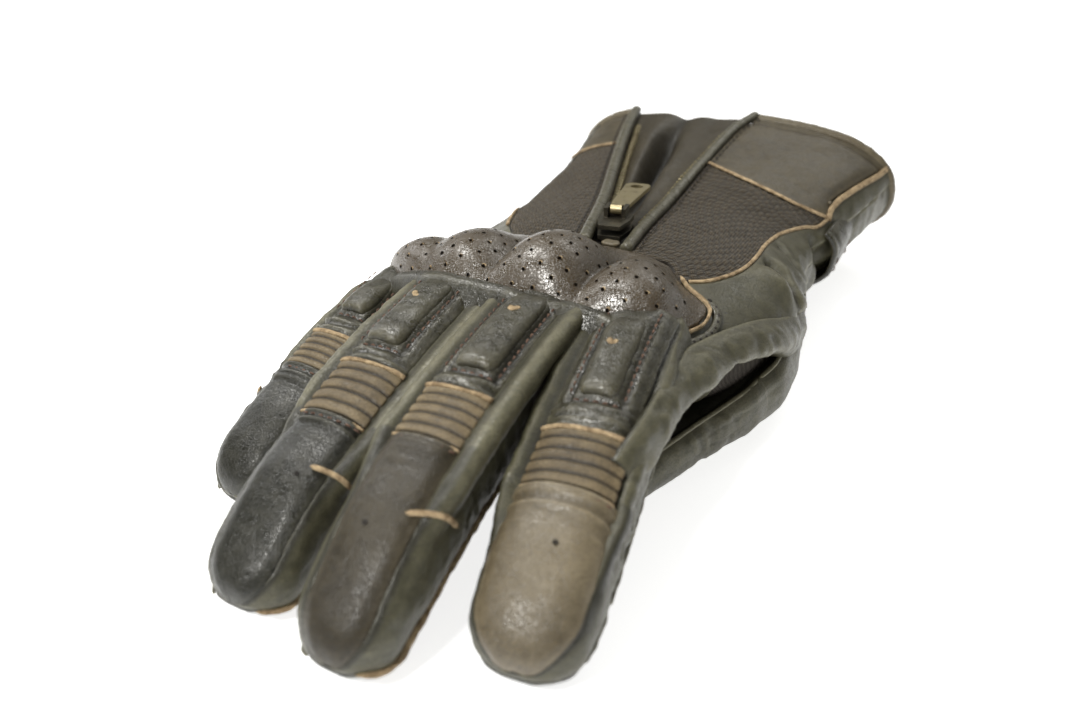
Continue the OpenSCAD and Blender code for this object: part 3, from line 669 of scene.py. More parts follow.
def stitches(name, rows, mat, length, gap, radius, arch=0.25):
    """Rows of short arched threads whose ends dip into the leather; rows are (path, up)."""
    ang = np.linspace(0, 2 * np.pi, 9)[:-1]
    part = np.linspace(-1, 1, 7)
    lift = ((1 - part ** 2) * arch - 0.35 * radius * part ** 2 - 0.05)[:, None]
    thick = radius * np.sqrt(np.clip(1 - np.abs(part) ** 3.5, 0.05, 1))[:, None]
    across, above = (np.cos(ang) * thick)[..., None], (np.sin(ang) * thick * 0.8)[..., None]
    all_verts, all_quads, all_tris, first = [], [], [], 0
    for pts, normals in rows:
        fine = resample(np.concatenate([pts, normals], 1), 0.25)
        run = travelled(fine[:, :3])
        side, up = side_and_up(fine[:, :3], fine[:, 3:])
        for i in range(int(run[-1] // (length + gap))):
            where = (i + 0.5) * (length + gap) + part * length / 2
            centre, out, rise = (sample(where, run, item) for item in (fine[:, :3], side, up))
            verts, quads, tris = capped((centre + rise * lift)[:, None]
                                        + out[:, None] * across + rise[:, None] * above)
            all_verts.append(verts)
            all_quads.append(quads + first)
            all_tris.append(tris + first)
            first += len(verts)
    verts = np.concatenate(all_verts)
    return make(name, verts, np.concatenate(all_quads), mat, dict(wear=np.zeros(len(verts))),
                np.concatenate(all_tris))


def join(name, obs):
    """Joins mesh objects into the first one."""
    for ob in bpy.context.selected_objects:
        ob.select_set(False)
    for ob in obs:
        ob.select_set(True)
    bpy.context.view_layer.objects.active = obs[0]
    bpy.ops.object.join()
    obs[0].name = name
    return obs[0]


# ---------------------------------------------------------------- materials
class Shader:
    """A material under construction; texture scales are per mm of rest coordinates."""

    def __init__(self, name):
        MATS[name] = material = bpy.data.materials.new(name)
        material.use_nodes = True
        self.tree = material.node_tree
        self.surface = next(n for n in self.tree.nodes if n.type == 'BSDF_PRINCIPLED')

    def put(self, socket, value):
        if isinstance(value, bpy.types.NodeSocket):
            self.tree.links.new(value, socket)
        elif isinstance(value, tuple) and socket.type == 'RGBA' and len(value) == 3:
            socket.default_value = (*value, 1)
        else:
            socket.default_value = value

    def node(self, kind, inputs=(), **settings):
        node = self.tree.nodes.new(kind)
        for key, value in settings.items():
            setattr(node, key, value)
        for key, value in dict(inputs).items():
            self.put(node.inputs[key], value)
        return node

    def rest(self, name='rco'):
        return self.node('ShaderNodeAttribute', attribute_name=name).outputs['Vector']

    def wear(self):
        return self.node('ShaderNodeAttribute', attribute_name='wear').outputs['Fac']

    def scaled(self, vector, factors):
        return self.node('ShaderNodeVectorMath', {0: vector, 1: factors},
                         operation='MULTIPLY').outputs[0]

    def shifted(self, vector, by):
        return self.node('ShaderNodeVectorMath', {0: vector, 1: by},
                         operation='ADD').outputs[0]

    def noise(self, where, scale, detail=3.0, rough=0.55, out='Fac'):
        return self.node('ShaderNodeTexNoise', {
            'Vector': where, 'Scale': scale, 'Detail': detail, 'Roughness': rough,
            'Distortion': 0.0}).outputs[out]

    def cells(self, where, scale, feature='DISTANCE_TO_EDGE'):
        return self.node('ShaderNodeTexVoronoi', {'Vector': where, 'Scale': scale},
                         feature=feature).outputs['Distance']

    def bands(self, where, axis, scale, distortion, detail_scale=1.0):
        return self.node('ShaderNodeTexWave', {
            'Vector': where, 'Scale': scale, 'Distortion': distortion,
            'Detail Scale': detail_scale}, wave_type='BANDS',
            bands_direction=axis).outputs['Fac']

    def remap(self, value, low, high, to=(0.0, 1.0)):
        return self.node('ShaderNodeMapRange', {
            'Value': value, 'From Min': low, 'From Max': high, 'To Min': to[0],
            'To Max': to[1]}).outputs['Result']

    def add(self, one, two, clamp=False):
        return self.node('ShaderNodeMath', {0: one, 1: two}, operation='ADD',
                         use_clamp=clamp).outputs[0]

    def times(self, one, two, clamp=False):
        return self.node('ShaderNodeMath', {0: one, 1: two}, operation='MULTIPLY',
                         use_clamp=clamp).outputs[0]

    def mix(self, factor, one, two, mode='MIX'):
        return self.node('ShaderNodeMix', {0: factor, 6: one, 7: two}, data_type='RGBA',
                         blend_type=mode).outputs[2] if False else self._mix(
                             factor, one, two, mode)

    def _mix(self, factor, one, two, mode):
        node = self.node('ShaderNodeMix', data_type='RGBA', blend_type=mode)
        for key, value in ((0, factor), (6, one), (7, two)):
            self.put(node.inputs[key], value)
        return node.outputs[2]

    def pointiness(self):
        return self.node('ShaderNodeNewGeometry').outputs['Pointiness']

    def bump(self, height, strength, distance, normal=None):
        inputs = {'Strength': strength, 'Distance': distance, 'Height': height}
        if normal is not None:
            inputs['Normal'] = normal
        return self.node('ShaderNodeBump', inputs).outputs[0]

    def finish(self, **values):
        for key, value in values.items():
            self.put(self.surface.inputs[key.replace('_', ' ')], value)


def leather(name, base, worn, dark, rough, relief, spec, grain=1.15, rub=1.0, mottle=1.0,
            patchy=0.5, crackle=0.3):
    """Grained leather: base colour, paler where rubbed, with a painted highlight on convex edges
    and painted shade in its grain grooves, cracks, hollows and sunken seams.
    """
    mat = Shader(name)
    rest = mat.rest()
    broad = mat.noise(rest, scale=0.045, detail=2.0)
    mottling = mat.noise(rest, scale=0.33, detail=4.0, rough=0.62)
    fine = mat.noise(rest, scale=2.6, detail=3.0, rough=0.6)
    # grain cells and wider cracks, both on warped coordinates
    warp = mat.noise(rest, scale=0.8, detail=2.0, out='Color')
    warp = mat.shifted(mat.scaled(rest, (1, 1, 1)), mat.scaled(warp, (0.8, 0.8, 0.8)))
    groove = mat.remap(mat.cells(warp, grain), 0.0, 0.11)
    warp = mat.noise(rest, scale=0.35, detail=3.0, out='Color')
    warp = mat.shifted(mat.scaled(rest, (1.0, 0.7, 1.0)), mat.scaled(warp, (2.6, 2.6, 2.6)))
    crack = mat.remap(mat.cells(warp, scale=0.27), 0.0, 0.03)
    tone = mat.add(mat.times(broad, 0.5), mat.times(mottling, 0.5))
    color = mat.mix(mat.remap(tone, 0.5 - 0.16 / mottle, 0.5 + 0.16 / mottle), dark, base)
    # rubbed places, plus a painted highlight on convex edges through pointiness
    point = mat.pointiness()
    wear = mat.add(mat.wear(), mat.remap(point, 0.505, 0.56, to=(0.0, 0.75)))
    wear = mat.add(wear, mat.remap(mottling, 0.35, 0.75, to=(-0.25 * patchy, 0.35 * patchy)))
    wear = mat.times(mat.times(wear, rub), mat.remap(fine, 0.3, 0.7, to=(0.55, 1.1)),
                     clamp=True)
    color = mat.mix(wear, color, worn)
    # painted shade: grain grooves, concave hollows, cracks and sunken seams darken the colour
    hollow = mat.remap(point, 0.43, 0.494, to=(0.35, 1.0))
    shade = mat.times(mat.times(mat.remap(groove, 0, 1, to=(0.72, 1.0)), hollow),
                      mat.remap(crack, 0, 1, to=(0.8, 1.0)))
    # more painted shade where the attribute of rubbing and shade is negative
    shade = mat.times(shade, mat.remap(mat.wear(), -0.9, -0.1, to=(0.32, 1.0)))
    grey = mat.node('ShaderNodeCombineColor', {0: shade, 1: shade, 2: shade}).outputs[0]
    color = mat.mix(1.0, color, grey, 'MULTIPLY')
    height = mat.add(mat.times(groove, 0.62), mat.times(fine, 0.4))
    height = mat.add(height, mat.times(crack, crackle))
    normal = mat.bump(height, strength=relief, distance=0.00022)
    normal = mat.bump(mottling, strength=relief * 0.3, distance=0.0009, normal=normal)
    rough = mat.add(mat.remap(mottling, 0.3, 0.7, to=(rough - 0.07, rough + 0.09)),
                    mat.remap(groove, 0, 1, to=(0.12, 0.0)))
    mat.finish(Base_Color=color, Roughness=rough, Normal=normal, Specular_IOR_Level=spec)


def leathers():
    leather('dark_leather', base=(0.038, 0.0355, 0.0215), worn=(0.098, 0.090, 0.058),
            dark=(0.015, 0.014, 0.0088), rough=0.30, relief=0.40, spec=0.6, crackle=0.4)
    leather('side_leather', base=(0.084, 0.078, 0.046), worn=(0.170, 0.158, 0.100),
            dark=(0.040, 0.038, 0.023), rough=0.40, relief=0.35, spec=0.45, patchy=0.3,
            mottle=0.7)
    leather('brown_leather', base=(0.068, 0.055, 0.031), worn=(0.145, 0.119, 0.074),
            dark=(0.036, 0.029, 0.017), rough=0.42, relief=0.30, spec=0.4, patchy=0.35,
            mottle=0.8)
    leather('rib_leather', base=(0.135, 0.100, 0.052), worn=(0.260, 0.202, 0.118),
            dark=(0.064, 0.047, 0.026), rough=0.48, relief=0.35, rub=0.8, spec=0.35)
    leather('tip_leather', base=(0.128, 0.101, 0.059), worn=(0.290, 0.238, 0.152),
            dark=(0.066, 0.052, 0.032), rough=0.36, relief=0.32, rub=0.9, mottle=0.5,
            patchy=0.2, spec=0.5)
    leather('black_leather', base=(0.016, 0.0155, 0.010), worn=(0.065, 0.062, 0.043),
            dark=(0.009, 0.009, 0.006), rough=0.33, relief=0.35, spec=0.4)
    leather('umber_leather', base=(0.034, 0.027, 0.0150), worn=(0.095, 0.078, 0.048),
            dark=(0.019, 0.015, 0.009), rough=0.38, relief=0.30, spec=0.35, patchy=0.35,
            mottle=0.8)
    leather('guard_leather', base=(0.062, 0.042, 0.0195), worn=(0.115, 0.086, 0.048),
            dark=(0.038, 0.0255, 0.012), rough=0.26, relief=0.42, grain=1.35, rub=0.3,
            spec=1.0, mottle=0.5, patchy=0.2, crackle=0.5)


def raw_edge():
    """Cut edge of the leather."""
    mat = Shader('raw_edge')
    rest = mat.rest()
    broad = mat.noise(rest, scale=0.5, detail=4.0, rough=0.65)
    fine = mat.noise(rest, scale=5.0, detail=3.0, rough=0.7)
    color = mat.mix(mat.remap(broad, 0.38, 0.62), (0.200, 0.140, 0.078), (0.47, 0.355, 0.215))
    color = mat.mix(mat.remap(fine, 0.52, 0.7, to=(0, 0.55)), color, (0.085, 0.060, 0.038))
    normal = mat.bump(mat.add(fine, broad), strength=0.6, distance=0.0003)
    mat.finish(Base_Color=color, Roughness=0.78, Normal=normal, Specular_IOR_Level=0.25)


def thread(name, dark, pale):
    mat = Shader(name)
    rest = mat.rest()
    twist = mat.bands(rest, 'DIAGONAL', scale=1.5, distortion=0.6)
    color = mat.mix(mat.remap(mat.noise(rest, scale=1.3), 0.35, 0.65), dark, pale)
    mat.finish(Base_Color=color, Roughness=0.7, Specular_IOR_Level=0.3,
               Normal=mat.bump(twist, strength=0.7, distance=0.0002))


def ribbed_fabric():
    """Knit of the wrist: its ribs come from the mesh, the yarn from here."""
    mat = Shader('ribbed_fabric')
    run = mat.rest('puv')
    broad = mat.noise(run, scale=0.16)
    fine = mat.noise(run, scale=2.2, detail=2.0, rough=0.7)
    yarn = mat.times(mat.bands(mat.scaled(run, (1.0, 1.0, 1.0)), 'X', scale=0.42,
                               distortion=1.2, detail_scale=1.4),
                     mat.bands(run, 'Y', scale=0.36, distortion=0.9))
    color = mat.mix(mat.remap(broad, 0.35, 0.65), (0.029, 0.022, 0.0125),
                    (0.045, 0.034, 0.020))
    pale = mat.remap(mat.add(yarn, mat.times(fine, 0.7)), 0.55, 1.15, to=(0, 0.9))
    color = mat.mix(pale, color, (0.105, 0.080, 0.050))
    # painted shade in the knit's hollows, from the negative attribute of rubbing and shade
    sunken = mat.remap(mat.wear(), -0.6, 0.05, to=(0.8, 0.0))
    color = mat.mix(sunken, color, (0.010, 0.008, 0.006))
    normal = mat.bump(mat.add(yarn, mat.times(fine, 0.5)), strength=0.7, distance=0.0004)
    mat.finish(Base_Color=color, Roughness=0.86, Normal=normal, Specular_IOR_Level=0.2,
               Sheen_Weight=0.12)


def woven(name, dark, pale, scale):
    mat = Shader(name)
    rest = mat.rest()
    weave = mat.times(mat.bands(rest, 'X', scale, distortion=0.5),
                      mat.bands(rest, 'Y', scale, distortion=0.5))
    tone = mat.add(weave, mat.times(mat.noise(rest, scale=0.3, detail=4.0), 0.5))
    mat.finish(Base_Color=mat.mix(mat.remap(tone, 0.2, 1.1), dark, pale), Roughness=0.9,
               Normal=mat.bump(weave, strength=0.6, distance=0.0004),
               Specular_IOR_Level=0.15)


def hook_loop():
    mat = Shader('hook_loop')
    rest = mat.rest()
    fuzz = mat.noise(rest, scale=2.4, detail=5.0, rough=0.8)
    height = mat.add(mat.cells(rest, scale=1.1, feature='F1'), fuzz)
    color = mat.mix(mat.remap(fuzz, 0.35, 0.7), (0.008, 0.008, 0.008), (0.055, 0.053, 0.050))
    mat.finish(Base_Color=color, Roughness=0.95, Specular_IOR_Level=0.1,
               Normal=mat.bump(height, strength=0.9, distance=0.0008))


def metal(name, clean, tarnished, rough):
    """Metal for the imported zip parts, which carry only object coordinates."""
    mat = Shader(name)
    coords = mat.node('ShaderNodeTexCoord').outputs['Object']
    coords = mat.scaled(coords, (1000, 1000, 1000))
    patches = mat.noise(coords, scale=0.35, detail=4.0, rough=0.6)
    brushed = mat.noise(mat.scaled(coords, (6, 0.7, 2)), scale=1.0, detail=3.0, rough=0.6)
    tarnish = mat.add(mat.remap(patches, 0.38, 0.66),
                      mat.remap(mat.pointiness(), 0.5, 0.58, to=(0.0, -0.5)), clamp=True)
    bevel = mat.node('ShaderNodeBevel', {'Radius': 0.00022}, samples=4).outputs[0]
    mat.finish(Base_Color=mat.mix(tarnish, clean, tarnished), Metallic=1.0,
               Roughness=mat.remap(brushed, 0.3, 0.7, to=(rough - 0.06, rough + 0.16)),
               Normal=mat.bump(brushed, strength=0.14, distance=0.0001, normal=bevel))


def build_materials():
    leathers()
    # flat black standing in for the shade inside the guard's holes
    Shader('hole_black').finish(Base_Color=(0.004, 0.003, 0.0025), Roughness=1.0,
                                Specular_IOR_Level=0.0)
    raw_edge()
    thread('thread_brown', dark=(0.085, 0.050, 0.036), pale=(0.20, 0.120, 0.085))
    thread('thread_tan', dark=(0.26, 0.17, 0.095), pale=(0.50, 0.36, 0.21))
    thread('thread_dark', dark=(0.016, 0.014, 0.013), pale=(0.05, 0.043, 0.038))
    ribbed_fabric()
    woven('black_textile', dark=(0.018, 0.016, 0.015), pale=(0.055, 0.050, 0.045), scale=1.0)
    woven('lining', dark=(0.030, 0.026, 0.022), pale=(0.075, 0.066, 0.056), scale=0.55)
    hook_loop()
    metal('zip_brass', clean=(0.36, 0.31, 0.19), tarnished=(0.15, 0.125, 0.078), rough=0.40)
    metal('zip_slider_metal', clean=(0.085, 0.078, 0.060), tarnished=(0.035, 0.032, 0.026),
          rough=0.45)
    Shader('black_plastic').finish(Base_Color=(0.018, 0.018, 0.019), Roughness=0.5)
    Shader('grey_foam').finish(Base_Color=(0.2, 0.2, 0.19), Roughness=0.9)


# ---------------------------------------------------------------- fingers
def finger_walls(finger):
    """Side leather all round the finger, in two sleeves that meet before the ribs."""
    seed, seam, length = finger.seed, finger.seam, finger.length
    start, rib_end, tip_start = finger.round_start, finger.ribs[1], finger.tip_start

    def depth_under_panels(reach, ang):
        """How far a point lies inside the back panels' outline, in mm."""
        part = np.clip((reach - start) / (length - start), 0, 1)
        across = np.abs(np.cos(np.radians(ang))) ** (2 / SECTION) * quarter(part)
        turned = part / np.sqrt(np.clip(1 - across * across, 1e-9, 1))
        turned = np.arcsin(np.clip(turned, 0, 1))
        below = np.sin(np.radians(ang)) < 0
        path = np.where(reach <= start, np.where(below, 1e3, reach),
                        start + finger.tip_radius * np.where(below, np.pi - turned, turned))
        end = finger.tip_end()
        depth = np.where(path < end, (finger.tip_half(path) - across) * 12.5,
                         np.minimum(-(path - end), -across * 12.5))
        return np.where(reach > tip_start - 1, depth, ((90 - seam) - np.abs(ang - 90)) * 0.28)

    def shape(reach, ang, pts):
        ridge = finger.ridge(reach, ang)
        rise = ridge
        fade = smooth(-6, 2, reach) * smooth(rib_end + 12, rib_end + 2, reach)
        for centre in (seam - 1.0, 181.0 - seam):
            rise = rise - 0.9 * bell(ang, centre, 3.4) * fade
        rise = rise + 0.45 * fbm(pts, 11.0, seed) * smooth(0, 4, reach)
        flat = np.clip(1.2 - ridge, 0, 1)
        rise = rise + (folds(reach, ang, finger.joint + 6, 13, 4.6, 0.75, seed)
                       * (0.35 + 0.65 * flat) * np.where((ang > 200) & (ang < 340), 0.5, 1.0))
        rise = rise + folds(reach, ang, 8, 9, 5.0, 0.35, seed + 3) * flat
        rise = rise - 0.10 * lines(pts, 3.1, seed + 9, 0.12)
        # shrink away below the back panels, and at the hidden root
        depth = depth_under_panels(reach, ang)
        rise = mix(rise, np.minimum(rise, 0) - 0.75, smooth(0.0, 1.4, depth))
        rise = rise - 1.8 * smooth(-4.0, -10.5, reach)
        wear = 0.45 * np.clip(ridge / 2.2, 0, 1) ** 2 * (0.6 + 0.8 * noise(pts / 6, seed + 2))
        # painted shade in the groove where the walls tuck under the back panels
        wear = wear - bell(depth, -0.35, 0.8) * smooth(0, 3, reach)
        wear = wear + (finger.tip_rub * smooth(tip_start + 6, length - 6, reach)
                       * bell(ang, 95, 60))
        return rise, wear

    meet = finger.ribs[0] - 3.5 - 1.0
    reaches = np.concatenate([np.arange(-11, meet - 1.2, 0.85),
                              [meet - 0.8, meet - 0.06, meet - 0.03]])
    walls = tube(finger, finger.name + '_side_walls', reaches, shape, 168)
    finger.bend_root(walls, 'fourchettes')
    reaches = np.concatenate([[meet - 0.03, meet, meet + 0.5],
                              np.arange(meet + 1.2, start, 0.85), finger.tip_stations()])
    walls = tube(finger, finger.name + '_end_walls', reaches, shape, 168, closed=True)
    finger.bend_joint(walls, 'tip_wrap')


def finger_back(finger):
    """Back of the first phalanx, quilted round the pad."""
    seed, seam, rib_start = finger.seed, finger.seam, finger.ribs[0]
    pad_start, pad_end = finger.pad_reach
    low_ang, high_ang = finger.pad_ang

    def surface(row, col):
        return finger.point(mix(-3, rib_start + 0.5 * np.sin(np.pi * col), row),
                            mix(seam, 180 - seam, col))

    def shape(net):
        reach, ang = mix(-3, rib_start, net.row), mix(seam, 180 - seam, net.col)
        inside = np.minimum(np.minimum(ang - low_ang, high_ang - ang) * 0.2, pad_end - reach)
        groove = bell(inside, -0.9, 0.8) * smooth(pad_start, pad_start + 5, reach)
        rise = 0.75 * smooth(0, 5, net.edges[2]) * smooth(0, 5, net.edges[3])
        rise = rise + 0.9 * bell(reach, pad_end + 5.0, 2.6) * bell(ang, 90, 34) - 0.9 * groove
        crumple = folds(reach, ang, (pad_end + rib_start) / 2 + 1.5, 5.0, 2.6, 1.25, seed + 11)
        rise = rise + crumple * smooth(0, 2.5, rib_start - reach)
        rise = rise + 0.3 * fbm(net.pts, 7.0, seed + 4)
        rise = rise - 0.12 * lines(net.pts, 2.6, seed + 6, 0.12)
        wear = 0.4 * bell(reach, pad_end + 6, 3.5) * (0.5 + noise(net.pts / 3.0, seed))
        # painted shade in the groove round the pad
        return rise, wear - 0.35 * groove

    skin = panel(finger.name + '_back_skin', surface, 'dark_leather', shape, step=0.62,
                 rims=(0.9, 0.5, 0.9, 0.9), thick=1.1, base=0.25, sign=-1)
    finger.bend_root(skin, 'back')


def finger_pad(finger):
    """Raised bar pad on the first phalanx."""
    seed = finger.seed
    start, end = finger.pad_reach
    low_ang, high_ang = finger.pad_ang

    def surface(row, col):
        reach = mix(start, end, row)
        narrow = mix(0.60, 1.0, quarter(np.clip((reach - (end - 3.2)) / 3.2, 0, 1)))
        return finger.point(reach, (low_ang + high_ang) / 2
                            + (high_ang - low_ang) * (col - 0.5) * narrow)

    def shape(net):
        pts, reach = net.pts, mix(start, end, net.row)
        crown = np.sin(np.pi * np.clip(net.col, 0, 1)) ** 0.6
        crown = crown * np.clip(net.row / 0.5, 0.0, 1) ** 0.5
        rise = (0.8 * crown - 1.5 * smooth(9, 0, reach - start)
                + 0.35 * bell(reach, end - 3, 3.5) * crown + 0.16 * fbm(pts, 6.0, seed + 21, 2)
                + 0.1 * creases(pts, seed + 22, 5.0) * crown
                - 0.10 * lines(pts, 2.4, seed + 16, 0.1))
        wear = 0.30 * crown * (0.6 + 0.9 * noise(pts / 4.0, seed + 8))
        return rise, wear + 0.25 * bell(net.row, 1, 0.12)

    pad = panel(finger.name + '_pad', surface, 'dark_leather', shape, step=0.55,
                rims=(0.8, 2.4, 2.7, 2.7), thick=3.0, base=1.85, sign=-1)
    finger.bend_root(pad, 'bar_pad')


def rib_line(finger):
    """Angles across the ribbed panel and the bow of its edges."""
    return (np.linspace(finger.seam + 1, 179 - finger.seam, 40),
            0.7 * np.sin(np.pi * np.linspace(0, 1, 40)))


def finger_ribs(finger):
    """Ribbed flex panel and the pale edges along it."""
    name, seed, seam = finger.name, finger.seed, finger.seam
    start, end = finger.ribs
    pitch = (end - start) / 5

    def surface(row, col):
        return finger.point(mix(start, end, row), mix(seam + 0.5, 179.5 - seam, col))

    def shape(net):
        phase = np.mod((mix(start, end, net.row) - start) / pitch, 1.0)
        crown = np.abs(np.sin(np.pi * phase)) ** 0.30
        gap = bell(phase, 0.0, 0.13) + bell(phase, 1.0, 0.13)
        wear = 0.25 * crown * (0.6 + 0.9 * noise(net.pts / 4.0, seed + 33))
        # painted shade in the gaps between ribs
        return (1.05 * crown + 0.10 * fbm(net.pts, 5.0, seed + 31, 2),
                wear - 1.15 * np.clip(gap, 0, 1))

    ribs = panel(name + '_rib_panel', surface, 'rib_leather', shape, step=0.34,
                 rims=(0.4, 0.4, 0.5, 0.5), thick=1.5, base=-0.25, sign=-1)
    finger.bend_joint(ribs, 'flex_ribs')
    ang, bow = rib_line(finger)
    edge = ribbon(name + '_rib_edge', finger.raised(start + 0.15 + bow * 0.7, ang, 0.45),
                  finger.normal(start, ang), 'raw_edge', size=(1.25, 0.95), sink=0.15,
                  wobble=0.12, seed=seed)
    finger.bend_root(edge)
    edge = ribbon(name + '_rib_lower_edge', finger.raised(end + 0.3 + 0.5 * bow, ang, 0.15),
                  finger.normal(end, ang), 'raw_edge', size=(0.7, 0.7), sink=0.1, wobble=0.1,
                  seed=seed + 1)
    finger.bend_joint(edge)


def finger_tip(finger):
    """Back panel of the tip; it runs over the end and closes in a round tongue."""
    name, seed, start = finger.name, finger.seed, finger.tip_start

    def surface(row, col):
        path = mix(start, finger.tip_end(), row)
        return finger.point(*finger.over_tip(path, finger.tip_half(path) * (1 - 2 * col)))

    def shape(net):
        pts, path = net.pts, mix(start, finger.tip_end(), net.row)
        _, end, left, right = net.edges
        rise = 0.5 * smooth(0, 4, np.minimum(left, right)) * smooth(0, 5, end)
        rise = rise + folds(path, 90 + 0 * path, start + 3, 5, 3.6, 0.8, seed + 41)
        rise = rise + 0.28 * fbm(pts, 12.0, seed + 42, 2)
        rise = rise + 0.9 * bell(path, start + 2.4, 2.6) * np.sin(np.pi * net.col)
        rise = rise - 0.08 * lines(pts, 2.2, seed + 44, 0.1)
        away = (pts - finger.point(finger.length * 0.8, 78.0)) / np.array([10, 15, 10])
        wear = finger.rub * bell(np.linalg.norm(away, axis=-1), 0, 1)
        wear = wear * (0.9 + 0.3 * noise(pts / 6.0, seed + 45))
        # painted seam shade along the panel's sides and end
        return rise, wear - 0.7 * sum(bell(dist, 0.0, 0.6) for dist in (left, right, end))

    cap = panel(name + '_tip_cap', surface, finger.tip_mat, shape, step=0.62,
                rims=(0.8, 0.5, 0.5, 0.5), thick=1.2, sign=-1)
    finger.bend_joint(cap, 'tip_back')
    ang, bow = rib_line(finger)
    row = (finger.raised(start + 1.5 + 0.6 * bow, ang, 0.75), finger.normal(start, ang))
    finger.bend_joint(stitches(name + '_rib_stitches', [row], 'thread_brown', length=1.7,
                               gap=0.8, radius=0.26))


def finger_palm(finger):
    """Palm leather in two pieces."""
    seed = finger.seed

    def piece(name, start, end, rims):
        def surface(row, col):
            return finger.point(mix(start, end, row), mix(*finger.palm_edges, col))

        def shape(net):
            reach = mix(start, end, net.row)
            rise = (0.35 * smooth(0, 4, net.edges[2]) * smooth(0, 4, net.edges[3])
                    + 0.3 * fbm(net.pts, 8.0, seed + 51)
                    + folds(reach, 270 + 60 * net.col, finger.joint, 8, 5, 0.55, seed + 52))
            return rise - 1.6 * smooth(1, -8, reach), 0

        return panel(finger.name + name, surface, 'dark_leather', shape, step=0.9, rims=rims,
                     thick=1.1, base=0.45, sign=-1)

    cut = finger.ribs[0] - 3.5
    finger.bend_root(piece('_palm_skin', -9, cut, (0, 0, 0.8, 0.8)), 'palm')
    finger.bend_joint(piece('_palm_tip', cut, finger.length - 1.4, (0, 0.8, 0.8, 0.8)))


def finger_outseams(finger):
    """Standing lips along both edges of the palm leather; a is the -x side, b the +x side."""
    name, seed, cut = finger.name, finger.seed, finger.ribs[0] - 3.5
    for key, side, ang in (('a', -1, finger.palm_edges[0]), ('b', 1, finger.palm_edges[1])):
        beside = ang + 1.5 * side

        def plain_lip(part, start, end, count, seed, **shape):
            reach = np.linspace(start, end, count)
            return ribbon(f'{name}_outseam_{part}_{key}', finger.raised(reach, beside, 0.2),
                          finger.normal(reach, ang), 'side_leather', size=(1.5, 1.3),
                          sink=0.3, wobble=0.3, seed=seed, **shape)

        reach = np.linspace(finger.lip_start, finger.length - finger.lip_gap, 60)
        out = unit(finger.normal(reach, ang)
                   + 0.35 * np.array([math.cos(finger.turn) * side, 0, 0]))
        wander = noise(np.stack([reach / 5, 0 * reach, 0 * reach], -1), seed + 60)
        lip = ribbon(f'{name}_outseam_{key}', finger.raised(reach, beside + 1.5 * wander, 0.3),
                     out, 'raw_edge' if key in finger.raw_lips else 'side_leather',
                     size=(0.75, 1.5), sink=0.5, wobble=0.3, seed=seed + 61, roundness=0.35,
                     taper=4)
        finger.bend_joint(lip)
        finger.bend_root(plain_lip('root', 3, cut - 1, 40, seed + 62, taper=3))
        if finger.lip_start > cut + 2:
            finger.bend_joint(plain_lip('mid', cut - 1, finger.lip_start, 30, seed + 63))


def finger_trims(finger):
    """Pale side strips, pad stitches, the worn nick on the pad and the ring mark."""
    name, seed = finger.name, finger.seed
    for i, (reach, first, last) in enumerate(finger.strips):
        ang = np.linspace(first, last, 24)
        reach = reach + np.linspace(0, finger.slant, 24)
        lift = 1.05 + finger.ridge(reach, ang)
        finger.bend_joint(ribbon(
            f'{name}_side_strip_{i}', finger.raised(reach, ang, lift),
            finger.normal(reach, ang), 'raw_edge', size=(1.25, 0.8), sink=0.3, wobble=0.2,
            seed=seed + 70 + i, taper=1))

    start, end = finger.pad_reach
    low_ang, high_ang = finger.pad_ang
    reach = np.linspace(start - 1.5, end + 1.2, 40)
    rows = [(finger.raised(reach, ang, 0.95), finger.normal(reach, ang))
            for ang in (low_ang - 5.2, high_ang + 5.2)]
    ang = np.linspace(low_ang - 3, high_ang + 3, 30)
    rows.append((finger.raised(end + 1.6, ang, 0.9), finger.normal(end, ang)))
    finger.bend_root(stitches(name + '_pad_stitches', rows, 'thread_brown', length=1.5,
                              gap=0.75, radius=0.26))

    if finger.nick:
        reach, ang = finger.nick
        part = np.linspace(0, 1, 7)
        path = finger.raised(reach + 0.5 * np.sin(part * 7 + seed), ang - 4 + 8 * part, 2.6)
        finger.bend_root(ribbon(
            name + '_pad_nick', path, finger.normal(reach + 0 * part, ang), 'raw_edge',
            size=(1.6, 0.45), sink=0.25, wobble=0.4, seed=seed + 80, taper=0.8, step=0.4))
    if finger.dot:
        reach, ang = finger.dot
        turn = np.linspace(0, 2 * np.pi, 15)
        ring = finger.raised(reach + 0.3 * np.cos(turn), ang + 1.5 * np.sin(turn), 0.75)
        up = finger.normal(reach + np.zeros(8), ang)
        halves = [ribbon(name + suffix, path, up, 'thread_dark', size=(0.4, 0.35), sink=0.2,
                         seed=seed + shift, step=0.2)
                  for suffix, path, shift in (('_tip_mark', ring[:8], 81),
                                              ('_tip_mark_b', ring[7:], 82))]
        finger.bend_joint(join(name + '_tip_mark', halves))


def build_finger(finger):
    for part in (finger_walls, finger_back, finger_pad, finger_ribs, finger_tip, finger_palm,
                 finger_outseams, finger_trims):
        part(finger)


# ---------------------------------------------------------------- hand
def patch(name, start, end, first_ang, last_ang, mat, shape, **settings):
    """A panel on the hand from y start to end, between two angles given as functions of y."""
    def surface(row, col):
        y = mix(start, end, row)
        return hand(mix(first_ang(y), last_ang(y), col), y)
    return panel(name, surface, mat, shape, **settings)


def back_skin():
    """Leather below the guard and round to the finger roots."""
    def shape(net):
        sunk = smooth(0, 4, net.y - mix(28.5, 19.5, smooth(12, 26, net.x)))
        return 0.35 * fbm(net.pts, 10, 5) - 1.6 * sunk, 0
    ride(patch('back_skin', -7.0, 34.5, lambda y: 14, lambda y: 153, 'dark_leather', shape,
               step=1.1, rims=(2.4, 0.5, 1, 1), thick=1.4, base=-0.2), 'back_panel')


